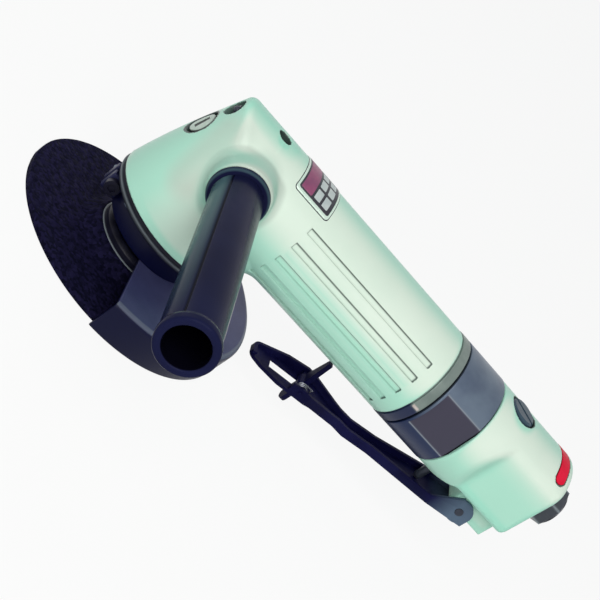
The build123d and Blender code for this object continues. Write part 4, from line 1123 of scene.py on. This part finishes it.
# %% Front plug
plug_out = 5.7
plug_turn = math.radians(-17.0)
plug_rings = 45
finish("plug_zinc", ((0.50, 0.62, 0.56), (0.60, 0.70, 0.64)), 4, 0.4, 0.01, (0.30, 0.45))
# painted shade in the slot and round the plug's edge
tint("plug_zinc", "slot", (0.010, 0.014, 0.016))


def cone_front(across, height):
    """X of the head's front: on a circle about the spindle whose radius shrinks evenly up the cone."""
    return -np.sqrt(np.interp(height, (-belt_drop, crown_rise), (head_belt, head_crown)) ** 2 - across ** 2)


def plug_grid():
    """A disc about the plug's axis: the cone's front plus a small depth, more in the slot. Rings past the rim
    run straight back as the wall."""
    ring = np.concatenate([np.linspace(0, 1, plug_rings), [1.0, 1.0, 0.0]])[:, None] * plug_out
    back = np.concatenate([np.zeros(plug_rings), [0.4, 3.0, 3.0]])[:, None]
    angle = np.linspace(0, 2 * np.pi, 145)[None]
    across, up = ring * np.cos(angle), ring * np.sin(angle)
    off = across * np.cos(plug_turn) + up * np.sin(plug_turn)
    on = up * np.cos(plug_turn) - across * np.sin(plug_turn)
    slot = ease(-np.abs(off), -1.9, -1.6) * ease(-np.abs(on), -3.4, -3.1) * (back == 0)
    face = 0.35 + 0.5 * ease(ring, plug_out - 0.5, plug_out) + 0.5 * slot
    return np.stack([face + back + cone_front(across, plug_rise + up), across, plug_rise + up], -1)


plug_face = grid_mesh("plug_face", plug_grid())
x, y, z = places(plug_face)
# painted shade in the slot and round the plug's edge
mark(plug_face, "slot", ease(x - cone_front(y, z), 0.5, 0.7))
add_piece(plug_face, "housing", "dark_metal", "front_plug", look="plug_zinc")

# %% [markdown]
# ## Lever, latch and small fittings
# The lever is bent from sheet steel and the latch is stamped, so their edges are only just broken. Their
# solids already have the right shape: a merged copy of each gets a narrow Bevel, and nothing else changes.
# Towards its ears at the rear, the lever's paint turns a lighter blue-grey.

# %% Lever, latch and fittings
edge_width = 0.2
edge_angle = math.radians(30)
finish("valve_blue", ((0.030, 0.056, 0.088), (0.050, 0.086, 0.122)), 5, 0.4, 0.01, (0.28, 0.42), shine=0.2)


def softened(node, body, slot):
    """A copy of a solid's mesh: points merged, flat faces joined, edges rounded over a narrow width."""
    mesh = nodes[node].data.copy()
    mesh.name = "soft_" + node
    mesh.materials.clear()
    work = bmesh.new()
    work.from_mesh(mesh)
    bmesh.ops.remove_doubles(work, verts=work.verts, dist=1e-6)
    bmesh.ops.dissolve_limit(work, angle_limit=math.radians(0.5), verts=work.verts, edges=work.edges)
    work.to_mesh(mesh)
    work.free()
    mesh.shade_smooth()
    mesh.set_sharp_from_angle(angle=edge_angle)
    piece = add_piece(mesh, body, slot, node)
    edge = piece.modifiers.new("edge", "BEVEL")
    edge.width = edge_width * MM
    edge.segments = 2
    edge.limit_method = "ANGLE"
    edge.angle_limit = edge_angle
    return piece


lever = softened("throttle_lever", "lever", "lever_paint")
# lighter blue-grey paint towards the lever's ears
mark(lever.data, "lighter_ears", ease(places(lever.data)[0], 164, 172))
softened("safety_latch", "latch", "lever_paint")
fitting_looks = {"valve_plug": "valve_blue", "grease_nipple": "dark_metal", "valve_stem": "dark_metal",
                 "lever_pin": "dark_metal", "guard_clamp_screw": "cap_black"}
for node, look in fitting_looks.items():
    nodes[node].data.materials[0] = finishes[look]

# %% [markdown]
# ## Valve spring
# Below the valve plug a small compression spring pushes the stem back onto its seat. Its wire is carried up a
# helix whose end turns lie close together, as ground ends do.

# %% Valve spring
coil_radius = 4.0
wire_radius = 0.45
coil_turns = 5.5
coil_low = -0.93
coil_high = 14.18
coil_steps = 220
end_pitch = 0.95


def coil_grid():
    """A small ring carried up a helix, square to it, and closed to a point at both ends. The helix climbs by
    little more than the wire's width over each end turn and by the rest of the height between them."""
    turn = np.pad(np.linspace(0, coil_turns, coil_steps + 1), 1, "edge")[:, None]
    thick = np.pad(np.full(coil_steps + 1, wire_radius), 1)[:, None]
    open_part = ease(turn, 0.5, 1.2) * ease(coil_turns - turn, 0.5, 1.2)
    climb = coil_high - coil_low - 2 * wire_radius - end_pitch * coil_turns
    climbed = climb * np.cumsum(open_part)[:, None] / open_part.sum()
    height = coil_low + wire_radius + end_pitch * turn + climbed
    rise = np.gradient(height[:, 0], np.arange(len(turn)))[:, None] * coil_steps / coil_turns / (2 * np.pi)
    lean = np.arctan2(rise, coil_radius)
    angle, around = 2 * np.pi * turn, np.linspace(0, 2 * np.pi, 17)[None]
    radius, across = coil_radius + thick * np.cos(around), thick * np.sin(around)
    x = valve_x + radius * np.cos(angle) - across * np.sin(lean) * np.sin(angle)
    y = radius * np.sin(angle) + across * np.sin(lean) * np.cos(angle)
    return np.stack([x, y, height - across * np.cos(lean)], -1)


coil = add_piece(grid_mesh("valve_coil", coil_grid()), "housing", "spring_steel", "valve_spring")
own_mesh(coil)

# %% [markdown]
# ## Label plate and red strip
# A thin plate is glued round the top of the barrel, and a red strip fills the pocket of the backhead. Both
# are patches that follow a cylinder: rows run along the barrel, each as long as a round-cornered outline is
# there, and a Solidify gives the sheet its wall. The plate carries plain colour fields only.

# %% Patches on the barrel
plate_middle = 23.4
block_start = 24.2
block_pitch = (4.4, 6.6)
print_lift = 0.40
finish("plate_metal", ((0.60, 0.76, 0.68), (0.68, 0.82, 0.73)), 8, 0.6, 0.01, (0.25, 0.35), metallic=0.2)
finish("plate_ink", ((0.020, 0.020, 0.030), (0.036, 0.036, 0.050)), 6, 0.6, 0.01, (0.30, 0.45), shine=0.3)
finish("plate_plum", ((0.22, 0.045, 0.130), (0.32, 0.060, 0.160)), 5, 0.6, 0.01, (0.30, 0.45))
finish("plate_pale", ((0.50, 0.56, 0.58), (0.60, 0.65, 0.66)), 5, 0.6, 0.01, (0.30, 0.45))


def patch(name, middle, half, corner, lift, thick, slot, *stands_for, look=None, aside=0.0):
    """A plate on the barrel: half sizes along X and along the arc, rounded corners, its top at a lift. The
    half width of each row is the side's straight part plus the corner circle's height there."""
    along = half[0] * np.sin(np.linspace(-np.pi / 2, np.pi / 2, 33))[:, None]
    past = np.maximum(np.abs(along) - half[0] + corner, 0)
    width = half[1] - corner + np.sqrt(np.maximum(corner ** 2 - past ** 2, 0))
    arc = (aside + width * np.linspace(-1, 1, 41)[None]) / barrel_radius
    radius = barrel_radius + lift
    grid = np.stack(np.broadcast_arrays(middle + along, radius * np.sin(arc), radius * np.cos(arc)), -1)
    piece = add_piece(grid_mesh(name, grid), "housing", slot, *stands_for, look=look)
    wall = piece.modifiers.new("wall", "SOLIDIFY")
    wall.thickness = thick * MM
    wall.offset = -1


# a dark sheet just under the plate's edge: its painted shadow
patch("plate_shadow", plate_middle, (9.75, 16.0), 1.8, 0.06, 0.4, "dark_metal", look="plate_ink")
patch("plate", plate_middle, (9.4, 15.65), 1.6, 0.28, 0.4, "dark_metal", look="plate_metal")
patch("plate_print", plate_middle, (8.5, 14.0), 1.0, 0.34, 0.2, "dark_metal", look="plate_ink")
patch("plate_field", 18.6, (2.9, 13.2), 0.5, print_lift, 0.2, "dark_metal", look="plate_plum")
for number in range(8):
    row, column = divmod(number, 4)
    patch(f"plate_block_{number}", block_start + block_pitch[0] * row, (1.6, 2.6), 0.4, print_lift, 0.2,
          "dark_metal", look="plate_pale", aside=block_pitch[1] * (column - 1.5))
patch("red_strip", inlay_middle, (2.45, 14.9), 2.4, 0.12, 0.9, "inlay_red", "red_inlay")
